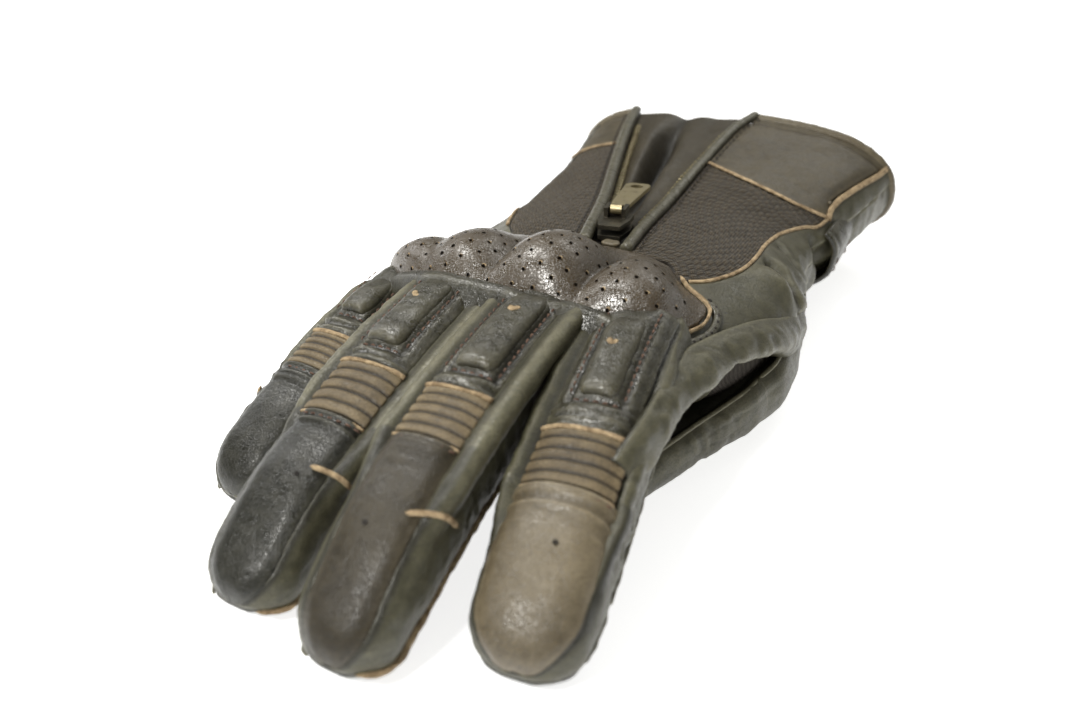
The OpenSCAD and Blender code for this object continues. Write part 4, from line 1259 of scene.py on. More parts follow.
def finger_root_web():
    """Wall between the finger roots: rings that shrink inward."""
    ang = np.linspace(0, 360, 181)[:-1]
    insets = np.array([1.2, 1.7, 3.0, 5.0, 8.0, 12.0, 15.0])
    ys = np.array([3.0, -1.0, -3.6, -4.6, -5.0, -5.0, -5.0])
    outer = hand(ang, ys[:, None], insets[:, None])
    outer[-1] = outer[-1].mean(0) + (outer[-1] - outer[-1].mean(0)) * 0.02
    inner = outer + np.array([0, 1.2, 0])
    verts = np.concatenate([outer.reshape(-1, 3), inner.reshape(-1, 3)])
    # the whole wall darkened as painted shade between the finger roots
    ride(make('finger_root_web', verts, slab_faces(len(ys), 180, True), 'side_leather',
              dict(wear=np.full(len(verts), -0.4))))


def strap_gathers(y, z):
    """Folds where the strap pulls the wrist in."""
    return bell(y, 97, 13) * (1.9 * np.sin((y + 0.55 * (z - 24)) / 3.1)
                              + 0.9 * np.sin((y - 0.9 * z) / 1.9 + 1.3))


def flank_skin():
    """Thumb side of the back, below the pale seam."""
    def upper(y):
        near, far = np.minimum(y, 109), np.maximum(y, 109)
        return np.where(y < 109, back_ang(flank_seam_x(np.clip(y, 22, 109)), near),
                        back_ang(cuff_seam_x(far), far))

    def shape(net):
        pts, x, y, z = net.pts, net.x, net.y, net.z
        rise = 0.7 * fbm(pts, 17, 61, 2) + 0.22 * fbm(pts, 5, 62)
        rise = rise + strap_gathers(y, z) * smooth(0, 7, net.edges[3])
        rise = rise + 0.55 * creases(pts, 63, 9) * bell(y, 70, 26)
        # shallow folds that run out from the thumb web
        rise = rise + 1.0 * bell(y + 0.5 * z, 62, 4.0) - 0.7 * bell(y + 0.5 * z, 70, 3.2)
        # deep pinch and the rolls beside it
        across = 0.62 * (x - 55) + 0.78 * (y - 52)
        near = bell(x, 57, 6.5)
        pinch = bell(across, 0, 1.5) * near
        rise = rise - 2.6 * pinch + 1.3 * bell(across, 4.4, 2.4) * near
        rise = rise + 0.8 * bell(across, -4.0, 2.6) * near
        rise = rise - 1.3 * bell(across - 0.2 * (x - 55), 12.5, 1.3) * bell(x, 56, 7.0)
        # wear on raised folds, painted shade in the sunk ones and in the pinch
        return rise * smooth(0, 5, net.edges[3]), 0.12 * np.clip(rise, -1, 1) - 0.5 * pinch

    ride(patch('flank_skin', -4, CUFF_Y, lambda y: mix(14.0, 8.0, smooth(5, 40, y)), upper,
               'side_leather', shape, step=0.9, rims=(0.5, 0.4, 0.0, 0.9), thick=1.3,
               base=0.2), 'flank_panel')


def thenar_skin():
    """Side of the hand below the flank, round to the ball of the thumb."""
    def shape(net):
        rise = 0.6 * fbm(net.pts, 16, 71, 2) + 0.25 * fbm(net.pts, 5, 72)
        rise = rise + strap_gathers(net.y, net.z) * smooth(2, 14, net.z)
        rise = rise + 0.4 * creases(net.pts, 73, 10)
        return np.where(net.z < 6, np.minimum(rise, 0.3), rise), 0
    ride(patch('thenar_skin', 45, CUFF_Y, lambda y: -back_ang(39.0, y), lambda y: 8,
               'side_leather', shape, step=1.0, rims=(0.6, 0.4, 0.7, 0.0), thick=1.3),
         'thenar_panel')


def palm_skin():
    """Palm leather, wrapped up round the little-finger side."""
    thumb_edge_x = table([(-4, 25), (0, 26.4), (11, 30.6), (21, 34.2), (40, 38.4), (60, 38.8),
                          (153, 38.8)])
    front_y = table([(-60, 8), (-36, 5.5), (-13, -1.5), (13, -4.5), (38, -2.5), (60, -1)])

    def surface(row, col):
        front_ang = mix(151.5, palm_ang(26.4, 0.0), col)
        y = mix(front_y(hand(front_ang, 0.0)[..., 0]), CUFF_Y, row)
        return hand(mix(151.5, palm_ang(thumb_edge_x(y), y), col), y)

    def shape(net):
        pts, x, y = net.pts, net.x, net.y
        free = smooth(2.5, 9, net.z)     # 0 where the palm rests on the floor
        rise = 0.6 * fbm(pts, 15, 81, 2) + 0.2 * fbm(pts, 5, 82)
        rise = rise + 0.45 * creases(pts, 83, 11) * (0.4 + 0.6 * smooth(-30, -46, x))
        # palm creases
        rise = rise - 0.9 * bell(y - 0.22 * x, 24, 1.4) * (1 - free)
        rise = rise - 0.8 * bell(y + 0.35 * x, 88, 1.5) * (1 - free)
        rise = np.where(free < 1, mix(np.clip(rise, -1.3, 0.35), rise, free), rise)
        return rise, 0.35 * bell(y, 12, 16) * (1 - free) * (0.6 + noise(pts / 5.0, 84))

    ride(panel('palm_skin', surface, 'dark_leather', shape, step=1.0,
               rims=(1.6, 0.4, 1.0, 0.8), thick=1.4), 'palm_panel')


def knit_shape(seed):
    def shape(net):
        warp = 0.5 * noise(net.pts / 7.0, seed)
        row = net.down / 3.0 + 0.3 * warp
        rib = np.abs(np.sin(np.pi * row)) ** 0.5
        stagger = 0.5 * np.mod(np.floor(row), 2)
        cross = np.abs(np.sin(np.pi * (net.over / 2.6 + stagger + 0.2 * warp))) ** 0.6
        rise = 0.5 * (rib * cross - 0.6)
        rise = rise + 0.5 * fbm(net.pts, 13, seed + 1, 2) * smooth(0, 6, net.edge)
        # painted shade between the knit's raised cells
        return rise, 0.9 * (rib * cross - 0.75)
    return shape


def wrist_knits():
    """Ribbed knit panels on both sides of the zip, and the leather wedge beside one."""
    def thumb_side(row, col):
        start = mix(20.2, 30.0, smooth(0.08, 0.6, col))
        y = mix(start, thumb_cuff_y(mix(57, 13.5, col)), row)
        x = mix(np.minimum(flank_seam_x(y), 57.5), zip_thumb_x(np.maximum(y, 31)) + 2.3, col)
        return hand(back_ang(x, y), y)

    def little_side(row, col):
        y = mix(30.5, LITTLE_CUFF_Y, row)
        x = mix(zip_little_x(y) - 2.3, little_seam_x(y), col)
        return hand(np.minimum(151.5, back_ang(x, y)), y)

    for side, surface, seed in (('thumb', thumb_side, 91), ('little', little_side, 95)):
        ride(panel('wrist_knit_' + side, surface, 'ribbed_fabric', knit_shape(seed),
                   step=0.42, rims=(0.4, 0.7, 0.7, 0.7), thick=1.5, base=-0.1),
             'wrist_flex_' + side)
    ride(patch('back_wedge', 31, 84, lambda y: np.minimum(150.5, back_ang(little_seam_x(y), y)),
               lambda y: 152, 'side_leather',
               lambda net: (0.3 * fbm(net.pts, 7, 99) * smooth(0, 3, net.edges[3]), 0),
               step=1.0, rims=(0.4, 0.2, 0.6, 0.3), thick=1.3, base=-0.1))


def cuff_shape(seed):
    def shape(net):
        rise = 0.8 * fbm(net.pts, 21, seed, 2) + 0.2 * fbm(net.pts, 5, seed + 1)
        return rise * smooth(0, 5, net.edge) - 0.8 * bell(net.edges[1], 5.2, 0.9), 0.1
    return shape


def cuff():
    """Leather bands at the wrist and the rolled binding round the opening."""
    def thumb_side(row, col):
        y = mix(thumb_cuff_y(mix(57, 13.5, col)) + 0.6, CUFF_Y, row)
        x = mix(np.where(y > 111, cuff_seam_x(y), 57.5), zip_thumb_x(y) + 2.3, col)
        return hand(back_ang(x, y), y)

    def little_side(row, col):
        y = mix(LITTLE_CUFF_Y + 0.6, CUFF_Y, row)
        return hand(mix(back_ang(zip_little_x(y) - 2.3, y), 151.5, col), y)

    for side, surface, seed, rims in (
            ('thumb', thumb_side, 101, (0.9, 0.5, 0.9, 0.7)),
            ('little', little_side, 105, (0.9, 0.5, 0.7, 0.9))):
        ride(panel('cuff_leather_' + side, surface, 'brown_leather', cuff_shape(seed),
                   step=0.8, rims=rims, thick=1.4, base=0.1), 'cuff_band_' + side)

    ang = np.linspace(float(back_ang(zip_little_x(152.0) - 1, 152.0)),
                      360 + float(back_ang(zip_thumb_x(152.0) + 1, 152.0)), 260)
    lift = -0.55 + 0.25 * np.sin(ang / 9.0)
    path = hand(ang, 151.6) + hand_normal(ang, 151.6) * lift[:, None]
    path[:, 2] = np.maximum(path[:, 2], 3.9)
    path[:, 1] += 0.4 * np.sin(ang / 23.0)
    ride(ribbon('cuff_roll', path, hand_normal(ang, 151.0), 'brown_leather', size=(4.2, 3.4),
                sink=1.6, roundness=0.6, wobble=0.25, seed=111, step=1.0), 'cuff_binding')


def lining():
    ang = np.linspace(0, 360, 181)[:-1]
    ys = np.concatenate([[2.0], np.arange(6, 150, 3.0), [151.0]])
    outer, inner = (hand(ang, ys[:, None], inset) for inset in (2.1, 2.8))
    sideways = np.array([1, 0, 1])
    outer = outer + 0.25 * fbm(outer, 8, 121, 2)[..., None] * sideways
    inner = inner + 0.25 * fbm(outer, 8, 121, 2)[..., None] * sideways
    # the lining leaves the zip gusset free
    for pts in (outer, inner):
        x, y = pts[..., 0], pts[..., 1]
        little, thumb = zip_little_x(y), zip_thumb_x(y)
        inside = ((pts[..., 2] > 25) * smooth(little - 7, little + 3, x)
                  * smooth(thumb + 7, thumb - 3, x) * smooth(30, 38, y))
        pts[..., 2] -= mix(9.5, 4.6, smooth(126, 150, y)) * inside
    verts = np.concatenate([outer.reshape(-1, 3), inner.reshape(-1, 3)])
    ride(make('lining_tube', verts, slab_faces(len(ys), 180, True), 'lining',
              dict(wear=np.zeros(len(verts)))), 'hand_lining')


def elastic():
    """Elastic inside the palm side of the wrist."""
    def shape(net):
        fade = smooth(0, 1.5, np.minimum(net.edges[0], net.edges[1]))
        return 0.35 * np.sin(2 * np.pi * net.over / 2.2) * fade, 0
    ride(patch('elastic_band', 86, 95, lambda y: palm_ang(-26.0, y),
               lambda y: palm_ang(26.0, y), 'black_textile', shape, step=0.6,
               rims=(0.4, 0.4, 0.4, 0.4), thick=1.2, base=-3.2), 'wrist_elastic')


def seam_strips():
    """Pale strips along the seams of the back; points are x, y."""
    flank = [(flank_seam_x(y) + 0.1, y) for y in (22.5, 24, 26.5, 30.9, 36, 41, 47, 55, 62, 70,
                                                  77, 83, 88, 93, 98)] + [(57.0, 105.0)]
    cuff_top = [(x, float(thumb_cuff_y(x)) + 0.3) for x in (14.6, 22)] + [
        (31, 103.8), (39, 101.7), (46, 100.8), (52, 102.2), (57.2, 105.6)]
    cuff_side = [(57.2, 105.0), (56.8, 108.5), (57.4, 114), (59.6, 123), (62.2, 133),
                 (64.4, 142), (66.0, 150.5)]
    cuff_little = [(float(zip_little_x(LITTLE_CUFF_Y)) - 3.2, LITTLE_CUFF_Y),
                   (-30, LITTLE_CUFF_Y), (-41.2, LITTLE_CUFF_Y)]
    wedge = [(-41.4, 79), (-39, 72), (-35, 62), (-31.5, 54), (-27.5, 46)]
    # name, points, width and height, lift off the leather, seed
    for name, points, size, lift, seed in (
            ('flank', flank, (1.15, 0.8), 0.25, 131),
            ('cuff_top', cuff_top, (1.25, 0.8), 0.25, 132),
            ('cuff_side', cuff_side, (1.9, 0.9), 0.4, 133),
            ('cuff_little', cuff_little, (1.1, 0.8), 0.25, 134),
            ('wedge', wedge, (1.2, 0.8), 0.25, 135)):
        path = smooth_path(points, 90)
        pts, normals = on_back(path[:, 0], path[:, 1], lift)
        ride(ribbon('seam_strip_' + name, pts, normals, 'raw_edge', size, sink=0.25,
                    wobble=0.08, seed=seed))


def build_hand():
    back_skin()
    finger_root_web()
    flank_skin()
    thenar_skin()
    palm_skin()
    wrist_knits()
    cuff()
    lining()
    elastic()
    seam_strips()


# ---------------------------------------------------------------- zip
ZIP_SIDES = (('l', zip_little_x, -1), ('r', zip_thumb_x, 1))


def gusset():
    """Folded leather between the two sides of the zip."""
    def surface(row, col):
        y = mix(33.5, CUFF_Y, row)
        x = mix(zip_thumb_x(y) - 0.2, zip_little_x(y) + 0.2, col)
        opening = smooth(50, 118, y) * (1 - 0.8 * smooth(124, 150, y))
        fold = mix(0.62, 0.56, row)
        z = top_z(x, y) - 3.1 + 2.2 * smooth(124, 150, y)
        z = z - opening * (8.0 * bell(col, fold, 0.085) - 2.6 * bell(col, fold + 0.19, 0.10)
                           + 1.6 * bell(col, fold - 0.30, 0.2))
        return np.stack([x, y, z - 1.2 * (1 - opening) * np.sin(np.pi * col)], -1)

    def shape(net):
        side = np.minimum(net.edges[2], net.edges[3])
        fold = bell(net.col, mix(0.62, 0.56, net.row), 0.06) * smooth(50, 118, net.y)
        # painted shade over the whole gusset down in the zip opening, deepest in its fold
        return 0.3 * fbm(net.pts, 9, 141) * smooth(0, 2, side), -0.45 - 0.5 * fold

    ride(panel('gusset_fold', surface, 'brown_leather', shape, step=0.7,
               rims=(0.3, 0.5, 0.0, 0.0), thick=1.0), 'zip_gusset')


def build_zip():
    gusset()
    welts, tapes, rows = [], [], []
    y = np.linspace(31, 152.0, 150)
    for key, edge_x, side in ZIP_SIDES:
        pts, normals = on_back(edge_x(y) + side * 0.9, y)
        welts.append(ribbon('welt_' + key, pts, unit(normals + np.array([-side * 0.25, 0, 0])),
                            'dark_leather', size=(3.9, 3.4), sink=1.3, roundness=0.62,
                            wobble=0.3, seed=151))
    ride(join('zip_welt_rolls', welts), 'zip_welts')
    y = np.linspace(33, 150.5, 120)
    stitch_y = np.linspace(33, 150, 140)
    for key, edge_x, side in ZIP_SIDES:
        pts = np.stack([edge_x(y) - side * 0.9, y, top_z(edge_x(y), y) - 2.75], -1)
        tapes.append(ribbon('tape_' + key, pts, np.tile([0, 0, 1.0], (120, 1)),
                            'black_textile', size=(4.6, 0.8), sink=0.4, roundness=0.25,
                            wobble=0.1, seed=155))
        rows.append(on_back(edge_x(stitch_y) + side * 4.1, stitch_y, 0.55))
    ride(join('zip_tape_pair', tapes), 'zip_tapes')
    ride(stitches('zip_welt_stitches', rows, 'thread_dark', length=2.2, gap=0.9, radius=0.28))
    # stop at the finger end of the zip
    path = smooth_path([(9.2, 34.6), (12, 34.2), (14.8, 34.6)], 12)
    pts, normals = on_back(path[:, 0], path[:, 1], -0.4)
    ride(ribbon('zip_stop_patch', pts, normals, 'brown_leather', size=(3.4, 1.3), sink=0.5,
                roundness=0.3, seed=158, taper=1), 'zip_bottom_stop')


# ---------------------------------------------------------------- knuckle guard
GUARD_LITTLE_X = -46.0
GUARD_THUMB_X = 49.0
# edges nearer the fingers and nearer the wrist: rows are x, y
guard_front_y = table([
    (-46, 5), (-36, -2.5), (-24, -8), (-8, -12), (14, -13.2), (34, -12.4), (42, -10.4),
    (44.9, -8.9), (46.3, -5.1), (47.6, -0.9), (49.0, 5.6)])
guard_rear_y = table([
    (-46, 13), (-34, 22), (-20, 27), (0, 29.5), (20, 30), (32, 27.0), (38, 20.5),
    (41.6, 17.4), (44.6, 16.0), (47.0, 14.6), (48.4, 12.2), (49.0, 8.4)])
# knuckle domes: x and height
KNUCKLES = [(-35.0, 5.7), (-15.5, 5.2), (9.8, 8.4), (34.8, 6.2)]


def guard_skin(x, part, lift):
    """Leather over the knuckle domes; part is 0 at the front edge and 1 at the rear edge."""
    ends = (smooth(GUARD_LITTLE_X - 0.5, GUARD_LITTLE_X + 4.5, x)
            * mix(0.12, 1.0, smooth(GUARD_THUMB_X + 0.3, GUARD_THUMB_X - 8.5, x)))
    width = mix(13.6, 12.0, smooth(0.3, 0.8, part))
    domes = 0.0 * x
    for centre, height in KNUCKLES:
        near = np.clip(1 - np.abs((x - centre) / width) ** 2.2, 0, 1)
        domes = domes + ((height + 0.5) * near) ** 4
    crest = 0.36
    part = np.clip(part, 0, 1)
    rise = np.sin(np.pi / 2 * np.clip(part / crest, 0, 1)) ** 0.85
    swell = np.sin(np.pi / 2 * np.clip(part / (0.92 * crest), 0, 1)) ** 0.55
    fall = 0.5 + 0.5 * np.cos(np.pi * np.clip((part - crest) / (1 - crest), 0, 1) ** 1.25)
    y = mix(guard_front_y(x), guard_rear_y(x), part)
    height = (1.8 * rise + domes ** 0.25 * swell) * ends * fall
    return np.stack([x + 0 * part, y, top_z(x, y) + lift + height], -1)


def guard_surface(row, col):
    lift = mix(0.1, 1.5, smooth(0.0, 0.12, col)) * mix(1.0, 0.5, smooth(0.9, 1.0, col))
    return guard_skin(mix(GUARD_LITTLE_X, GUARD_THUMB_X, row), col, lift)


def hole_places():
    """Staggered holes stepped along the leather from the front edge to over the crown."""
    holes = []
    part = np.linspace(0, 1, 400)
    for column, x in enumerate(np.arange(-42.0, 47.6, 3.35)):
        run = travelled(guard_skin(x + 0 * part, part, 1.5))
        for along in np.arange(2.6 + (column % 2) * 3.1, 0.60 * run[-1], 6.2):
            i = len(holes) + 1
            shift_x, shift = 0.5 * math.sin(i * 12.9898), 0.5 * math.sin(i * 78.233)
            holes.append((x + shift_x, float(np.interp(along + shift, run, part))))
    holes = np.array(holes)
    span = GUARD_THUMB_X - GUARD_LITTLE_X
    return guard_surface((holes[:, 0] - GUARD_LITTLE_X) / span, holes[:, 1])


def guard_cover():
    """The guard's leather; gives the points and normals where its holes sit."""
    net = sheet(guard_surface, 0.36, (0.8, 0.8, 0.8, 0.8))
    pts = net.pts
    rise = 0.10 * fbm(pts, 11.0, 201, 2) - 0.03 * lines(pts, 1.1, 202, 0.12)
    spots = []
    for hole in hole_places():
        dist = np.linalg.norm(pts - hole, axis=-1)
        spots.append(np.unravel_index(np.argmin(dist), dist.shape))
        rise = rise - 0.10 * bell(dist, 0, 0.7)
    crests = np.maximum.reduce([bell(net.x, centre, 6.0) for centre, _ in KNUCKLES])
    wear = 0.25 * crests * bell(net.col, 0.3, 0.2) * (0.7 + 0.6 * noise(pts / 4.0, 203))
    outer = pts + net.normals * (net.drop + rise)[..., None]
    inner = pts - net.normals * (1.2 - 0.4 * np.minimum(rise, 0))[..., None]
    inner[..., 2] = np.minimum(inner[..., 2], outer[..., 2] - 0.25)
    ride(make('guard_skin', np.concatenate([outer.reshape(-1, 3), inner.reshape(-1, 3)]),
              slab_faces(*net.row.shape), 'guard_leather',
              dict(rco=np.concatenate([pts.reshape(-1, 3)] * 2),
                   wear=np.concatenate([wear.ravel(), np.zeros(wear.size)]))),
         'guard_cover', 'guard_shell', 'guard_foam')
    normals = grid_normals(outer)
    normals = normals * np.sign(normals[..., 2].mean())
    return [(outer[spot], normals[spot]) for spot in spots]


def guard_holes(spots):
    """Each hole is a small dark disc of painted shade, most with a crescent of pale cut leather
    beside it.
    """
    wells, well_tris, rims, rim_tris = [], [], [], []
    for i, (centre, normal) in enumerate(spots):
        lean = unit(np.array([0.45, 0.85, 0.3]) - normal * np.dot(normal, [0.45, 0.85, 0.3]))
        side = np.cross(normal, lean)
        radius = 0.50 + 0.05 * math.sin(i * 5.1)

        def around(turn, dist, lift):
            return (centre + (lean * math.cos(turn) + side * math.sin(turn)) * dist
                    + normal * lift)

        first = len(wells)
        wells.append(centre + normal * 0.10)
        wells += [around(j / 12 * 2 * math.pi, radius, 0.15) for j in range(12)]
        well_tris += [(first, first + 1 + j, first + 1 + (j + 1) % 12) for j in range(12)]
        if math.sin(i * 3.7) > -0.75:
            first = len(rims)
            for j in range(9):
                turn = (j / 8 - 0.5) * 2.5 + 0.3 * math.sin(i * 2.3)
                width = 0.32 * math.sin(math.pi * (j + 0.5) / 9)
                width *= 0.7 + 0.4 * math.sin(i * 9.1)
                rims += [around(turn, radius - 0.04, 0.19), around(turn, radius + width, 0.12)]
            for k in range(first, first + 16, 2):
                rim_tris += [(k, k + 1, k + 3), (k, k + 3, k + 2)]
    for name, verts, tris, mat in (('guard_holes', wells, well_tris, 'hole_black'),
                                   ('guard_hole_rims', rims, rim_tris, 'raw_edge')):
        ride(make(name, verts, (), mat, dict(wear=np.zeros(len(verts))), tris))


def fingers_top(x, y):
    """Height of the highest finger at x, y; -99 beside the fingers."""
    heights = []
    for finger in FINGERS:
        ahead, lean = math.cos(finger.turn), math.sin(finger.turn)
        reach = (finger.root[1] - y) * ahead + (x - finger.root[0]) * lean
        side = (x - finger.root[0] - lean * reach) / ahead
        top, low = (edge(np.clip(reach, -12, 60)) for edge in (finger.top, finger.low))
        part = np.abs(side / finger.half(np.clip(reach, -6, 60))) ** SECTION
        height = (top + low) / 2 + (top - low) / 2 * np.clip(1 - part, 0, 1) ** (1 / SECTION)
        heights.append(np.where(part < 1, height, -99.0))
    return np.max(heights, axis=0)


def finger_yoke():
    """One sheet joining the finger backs; it laps the guard and dips between the fingers."""
    def surface(row, col):
        x = mix(-45.5, 44.0, row)
        front = guard_front_y(x)
        y = front + mix(0.6, -7.0, col)
        ahead = y - front
        on_hand = top_z(x, np.maximum(y, front)) + 0.6
        web = top_z(x, front) + 0.2 - 6.5 * smooth(0.0, -6.5, ahead)
        finger = fingers_top(x, y) + mix(0.5, -2.0, smooth(-0.5, -4.5, ahead))
        # soft maximum of finger and web heights
        joined = np.log(np.exp((np.maximum(finger, -20) - 40) / 0.9)
                        + np.exp((web - 40) / 0.9)) * 0.9 + 40
        z = mix(on_hand, np.minimum(joined, on_hand), smooth(0.4, -2.0, ahead))
        return np.stack([x, y, z], -1)

    def shape(net):
        ahead = mix(0.6, -7.0, net.col)
        rise = 0.15 * fbm(net.pts, 6.0, 231) - 0.1 * lines(net.pts, 2.4, 232, 0.1)
        return rise + 0.15 * bell(ahead, 0.0, 0.8), 0.2 * bell(ahead, 0.6, 0.6)

    ride(panel('finger_yoke', surface, 'dark_leather', shape, step=0.6,
               rims=(0.8, 0.8, 0.6, 0.0), thick=1.3))


def guard_edge():
    """Pale cut edge round the thumb end, with a roll and a row of stitches outside it."""
    path = smooth_path([(37.0, 22.4), (41.6, 17.6), (44.6, 16.2), (47.0, 14.8), (48.7, 12.4),
                        (49.3, 7.2), (48.0, -0.9), (46.6, -5.1), (45.1, -9.0),
                        (42.5, -10.9)], 120)
    pts, normals = on_back(np.minimum(path[:, 0], 53.4), path[:, 1], 0.9)
    ride(ribbon('guard_cut_edge', pts, normals, 'raw_edge', size=(0.85, 1.3), sink=0.4,
                roundness=0.4, wobble=0.06, seed=211, taper=2), 'guard_edge_trim')
    ahead = unit(np.gradient(path, axis=0))
    outside = path + np.stack([-ahead[:, 1], ahead[:, 0]], -1) * 2.3
    pts, normals = on_back(np.clip(outside[:, 0], -60, 55.4), outside[:, 1], 0.6)
    pts, normals = pts[30:-6], normals[30:-6]
    ride(stitches('guard_edge_stitches', [(pts, normals)], 'thread_dark', length=2.0, gap=0.8,
                  radius=0.34, arch=0.4))
    ride(ribbon('guard_edge_roll', pts, normals, 'dark_leather', size=(2.4, 1.2), sink=0.8,
                roundness=0.55, wobble=0.3, seed=214, taper=3))


# ---------------------------------------------------------------- thumb and its web
def build_thumb():
    seed, meet = THUMB.seed, 23.0

    def shape(reach, ang, pts):
        rise = 0.5 * fbm(pts, 12, seed) + folds(reach, ang, 44, 12, 5.0, 0.7, seed + 1)
        rise = rise - 0.9 * bell(ang, 299.0, 3.0)
        rise = rise - 2.2 * smooth(2.0, -9, reach)
        rise = rise + 0.8 * smooth(3, 12, reach) * quarter((ang - 60) / 40) * bell(reach, 30, 22)
        hollow = (smooth(46, 60, ang) * smooth(175, 150, ang)
                  * smooth(-4, 6, reach) * smooth(72, 55, reach))
        wear = 0.3 * bell(ang, 20, 40) * (0.5 + noise(pts / 6.0, seed + 3))
        # painted shade on the thumb where it faces the hollow
        return rise - 2.6 * hollow, wear - 1.3 * hollow

    reaches = np.concatenate([np.arange(-11, 22, 0.9), [22.4, 22.97, meet]])
    skin = tube(THUMB, 'thumb_base_skin', reaches, shape, 150)
    THUMB.bend_root(skin, 'back', 'palm')
    reaches = np.concatenate([[meet, 23.03, 23.6], np.arange(24.4, THUMB.round_start, 0.9),
                              THUMB.tip_stations()])
    skin = tube(THUMB, 'thumb_end_skin', reaches, shape, 150, closed=True)
    THUMB.bend_joint(skin, 'tip_back', 'tip_palm')

    # seam lips along both sides
    for key, ang in (('a', 47), ('b', 299)):
        reach = np.linspace(4, meet, 24)
        THUMB.bend_root(ribbon(
            'thumb_seam_lip_' + key, THUMB.raised(reach, ang, 0.2), THUMB.normal(reach, ang),
            'side_leather', size=(1.3, 1.3), sink=0.4, wobble=0.3, seed=seed + 7, taper=2))
        reach = np.linspace(meet, THUMB.length - 1.5, 70)
        THUMB.bend_joint(ribbon(
            'thumb_tip_seam_lip_' + key, THUMB.raised(reach, ang, 0.2),
            THUMB.normal(reach, ang), 'side_leather', size=(1.2, 1.4), sink=0.5, wobble=0.25,
            seed=seed + 8, taper=2))
    # pale edge in the hollow
    reach = np.linspace(20, 22.8, 14)
    THUMB.bend_root(ribbon(
        'thumb_inner_edge', THUMB.raised(reach - 6, 62 + (reach - 20) * 9, 0.9),
        THUMB.normal(reach, 70), 'raw_edge', size=(1.0, 0.8), sink=0.3, seed=seed + 9,
        taper=1))


# station y, then x and z of the points from the upper edge over the ridge and back underneath
WEB = [
    (-52, (51.6, 35.0), (55.0, 32.0), (56.2, 27.2), (53.6, 24.6), (50.4, 22.0)),
    (-44, (51.8, 37.0), (55.4, 33.6), (56.6, 28.4), (53.6, 26.4), (50.0, 23.6)),
    (-34, (51.4, 38.0), (55.2, 35.6), (56.2, 31.2), (52.6, 29.8), (48.6, 27.4)),
    (-24, (50.6, 38.4), (54.8, 36.2), (56.4, 32.0), (52.6, 30.8), (48.0, 28.8)),
    (-16, (50.2, 38.4), (55.2, 36.4), (57.6, 32.4), (53.6, 31.2), (47.4, 29.6)),
    (-8, (49.8, 38.0), (55.4, 36.2), (59.2, 32.0), (55.0, 30.8), (47.0, 29.6)),
    (0, (51.2, 37.0), (56.4, 35.6), (60.0, 31.8), (55.8, 30.6), (47.0, 29.6)),
    (8, (54.0, 36.4), (59.0, 34.8), (62.2, 30.4), (58.2, 29.0), (48.0, 28.4)),
    (16, (56.7, 35.2), (61.6, 33.0), (64.4, 28.4), (60.4, 26.6), (50.5, 26.6)),
    (24, (59.1, 33.2), (63.8, 30.8), (66.0, 26.2), (62.6, 23.6), (54.0, 24.0)),
    (34, (62.2, 29.8), (65.8, 27.4), (67.2, 22.8), (65.0, 17.8), (58.0, 17.0)),
    (42, (63.4, 27.6), (66.2, 24.6), (66.8, 20.2), (65.2, 15.2), (60.0, 13.0)),
    (50, (64.0, 25.4), (65.4, 22.6), (65.6, 19.0), (64.6, 15.0), (61.0, 12.0)),
]
WEB_KNOTS = np.array([0.0, 0.27, 0.52, 0.76, 1.0])   # where those points lie across the web


def build_web():
    """Fold of leather between the thumb and the index finger."""
    stations = [row[0] for row in WEB]
    curves = [[curve(stations, [row[j + 1][axis] for row in WEB]) for j in range(5)]
              for axis in (0, 1)]

    def surface(row, col):
        y = mix(-52.0, 50.0, row)
        col = np.clip(col, 0, 1)
        seg = np.clip(np.searchsorted(WEB_KNOTS, col, side='right') - 1, 0, 3)
        part = (col - WEB_KNOTS[seg]) / (WEB_KNOTS[seg + 1] - WEB_KNOTS[seg])
        coords = []
        # Catmull-Rom across each section
        for axis in (0, 1):
            knots = np.stack([line(y) for line in curves[axis]], -1)
            a, b, c, d = (np.take_along_axis(knots, np.clip(seg + k, 0, 4)[..., None], -1)[..., 0]
                          for k in (-1, 0, 1, 2))
            coords.append(0.5 * (2 * b + (c - a) * part
                                 + (2 * a - 5 * b + 4 * c - d) * part ** 2
                                 + (3 * b - a - 3 * c + d) * part ** 3))
        return np.stack([coords[0], y, coords[1]], -1)

    def shape(net):
        pts, y, col = net.pts, net.y, net.col
        rise = 0.8 * fbm(pts, 16, 401, 2) + 0.28 * fbm(pts, 5.0, 402)
        rise = rise + 0.5 * creases(pts, 403, 9.0) * bell(col, 0.35, 0.35)
        # pinches and a roll beside the guard corner
        rise = rise - 0.9 * bell(y, -3.5, 4.0) * smooth(0.5, 0.1, col)
        rise = rise + 1.0 * bell(y, -7, 6) * bell(col, 0.3, 0.2)
        rise = rise - 1.1 * bell(y, -33, 3.0) * bell(col, 0.1, 0.14)
        rise = rise * smooth(0, 4, net.edge) - 2.2 * smooth(-43.5, -52, y)
        wear = 0.35 * bell(col, 0.45, 0.14) * (0.5 + noise(pts / 7.0, 404))
        # painted shade on the underside of the fold
        return rise, wear - 0.3 * smooth(0.6, 0.9, col)

    web = panel('thumb_web_fold', surface, 'side_leather', shape, step=0.75,
                rims=(0.6, 0.6, 1.1, 0.6), thick=1.15, base=0.2, sign=-1)
    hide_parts('thumb_web_gusset')
    INDEX.bend_root(web, start=-14, end=6)


# ---------------------------------------------------------------- palm patch and strap
PATCH_CORNERS = np.array([(-26, -34), (20, -34), (28, -14), (22, 24), (-18, 26), (-28, 6)],
                         float) + np.array([-10, 58])


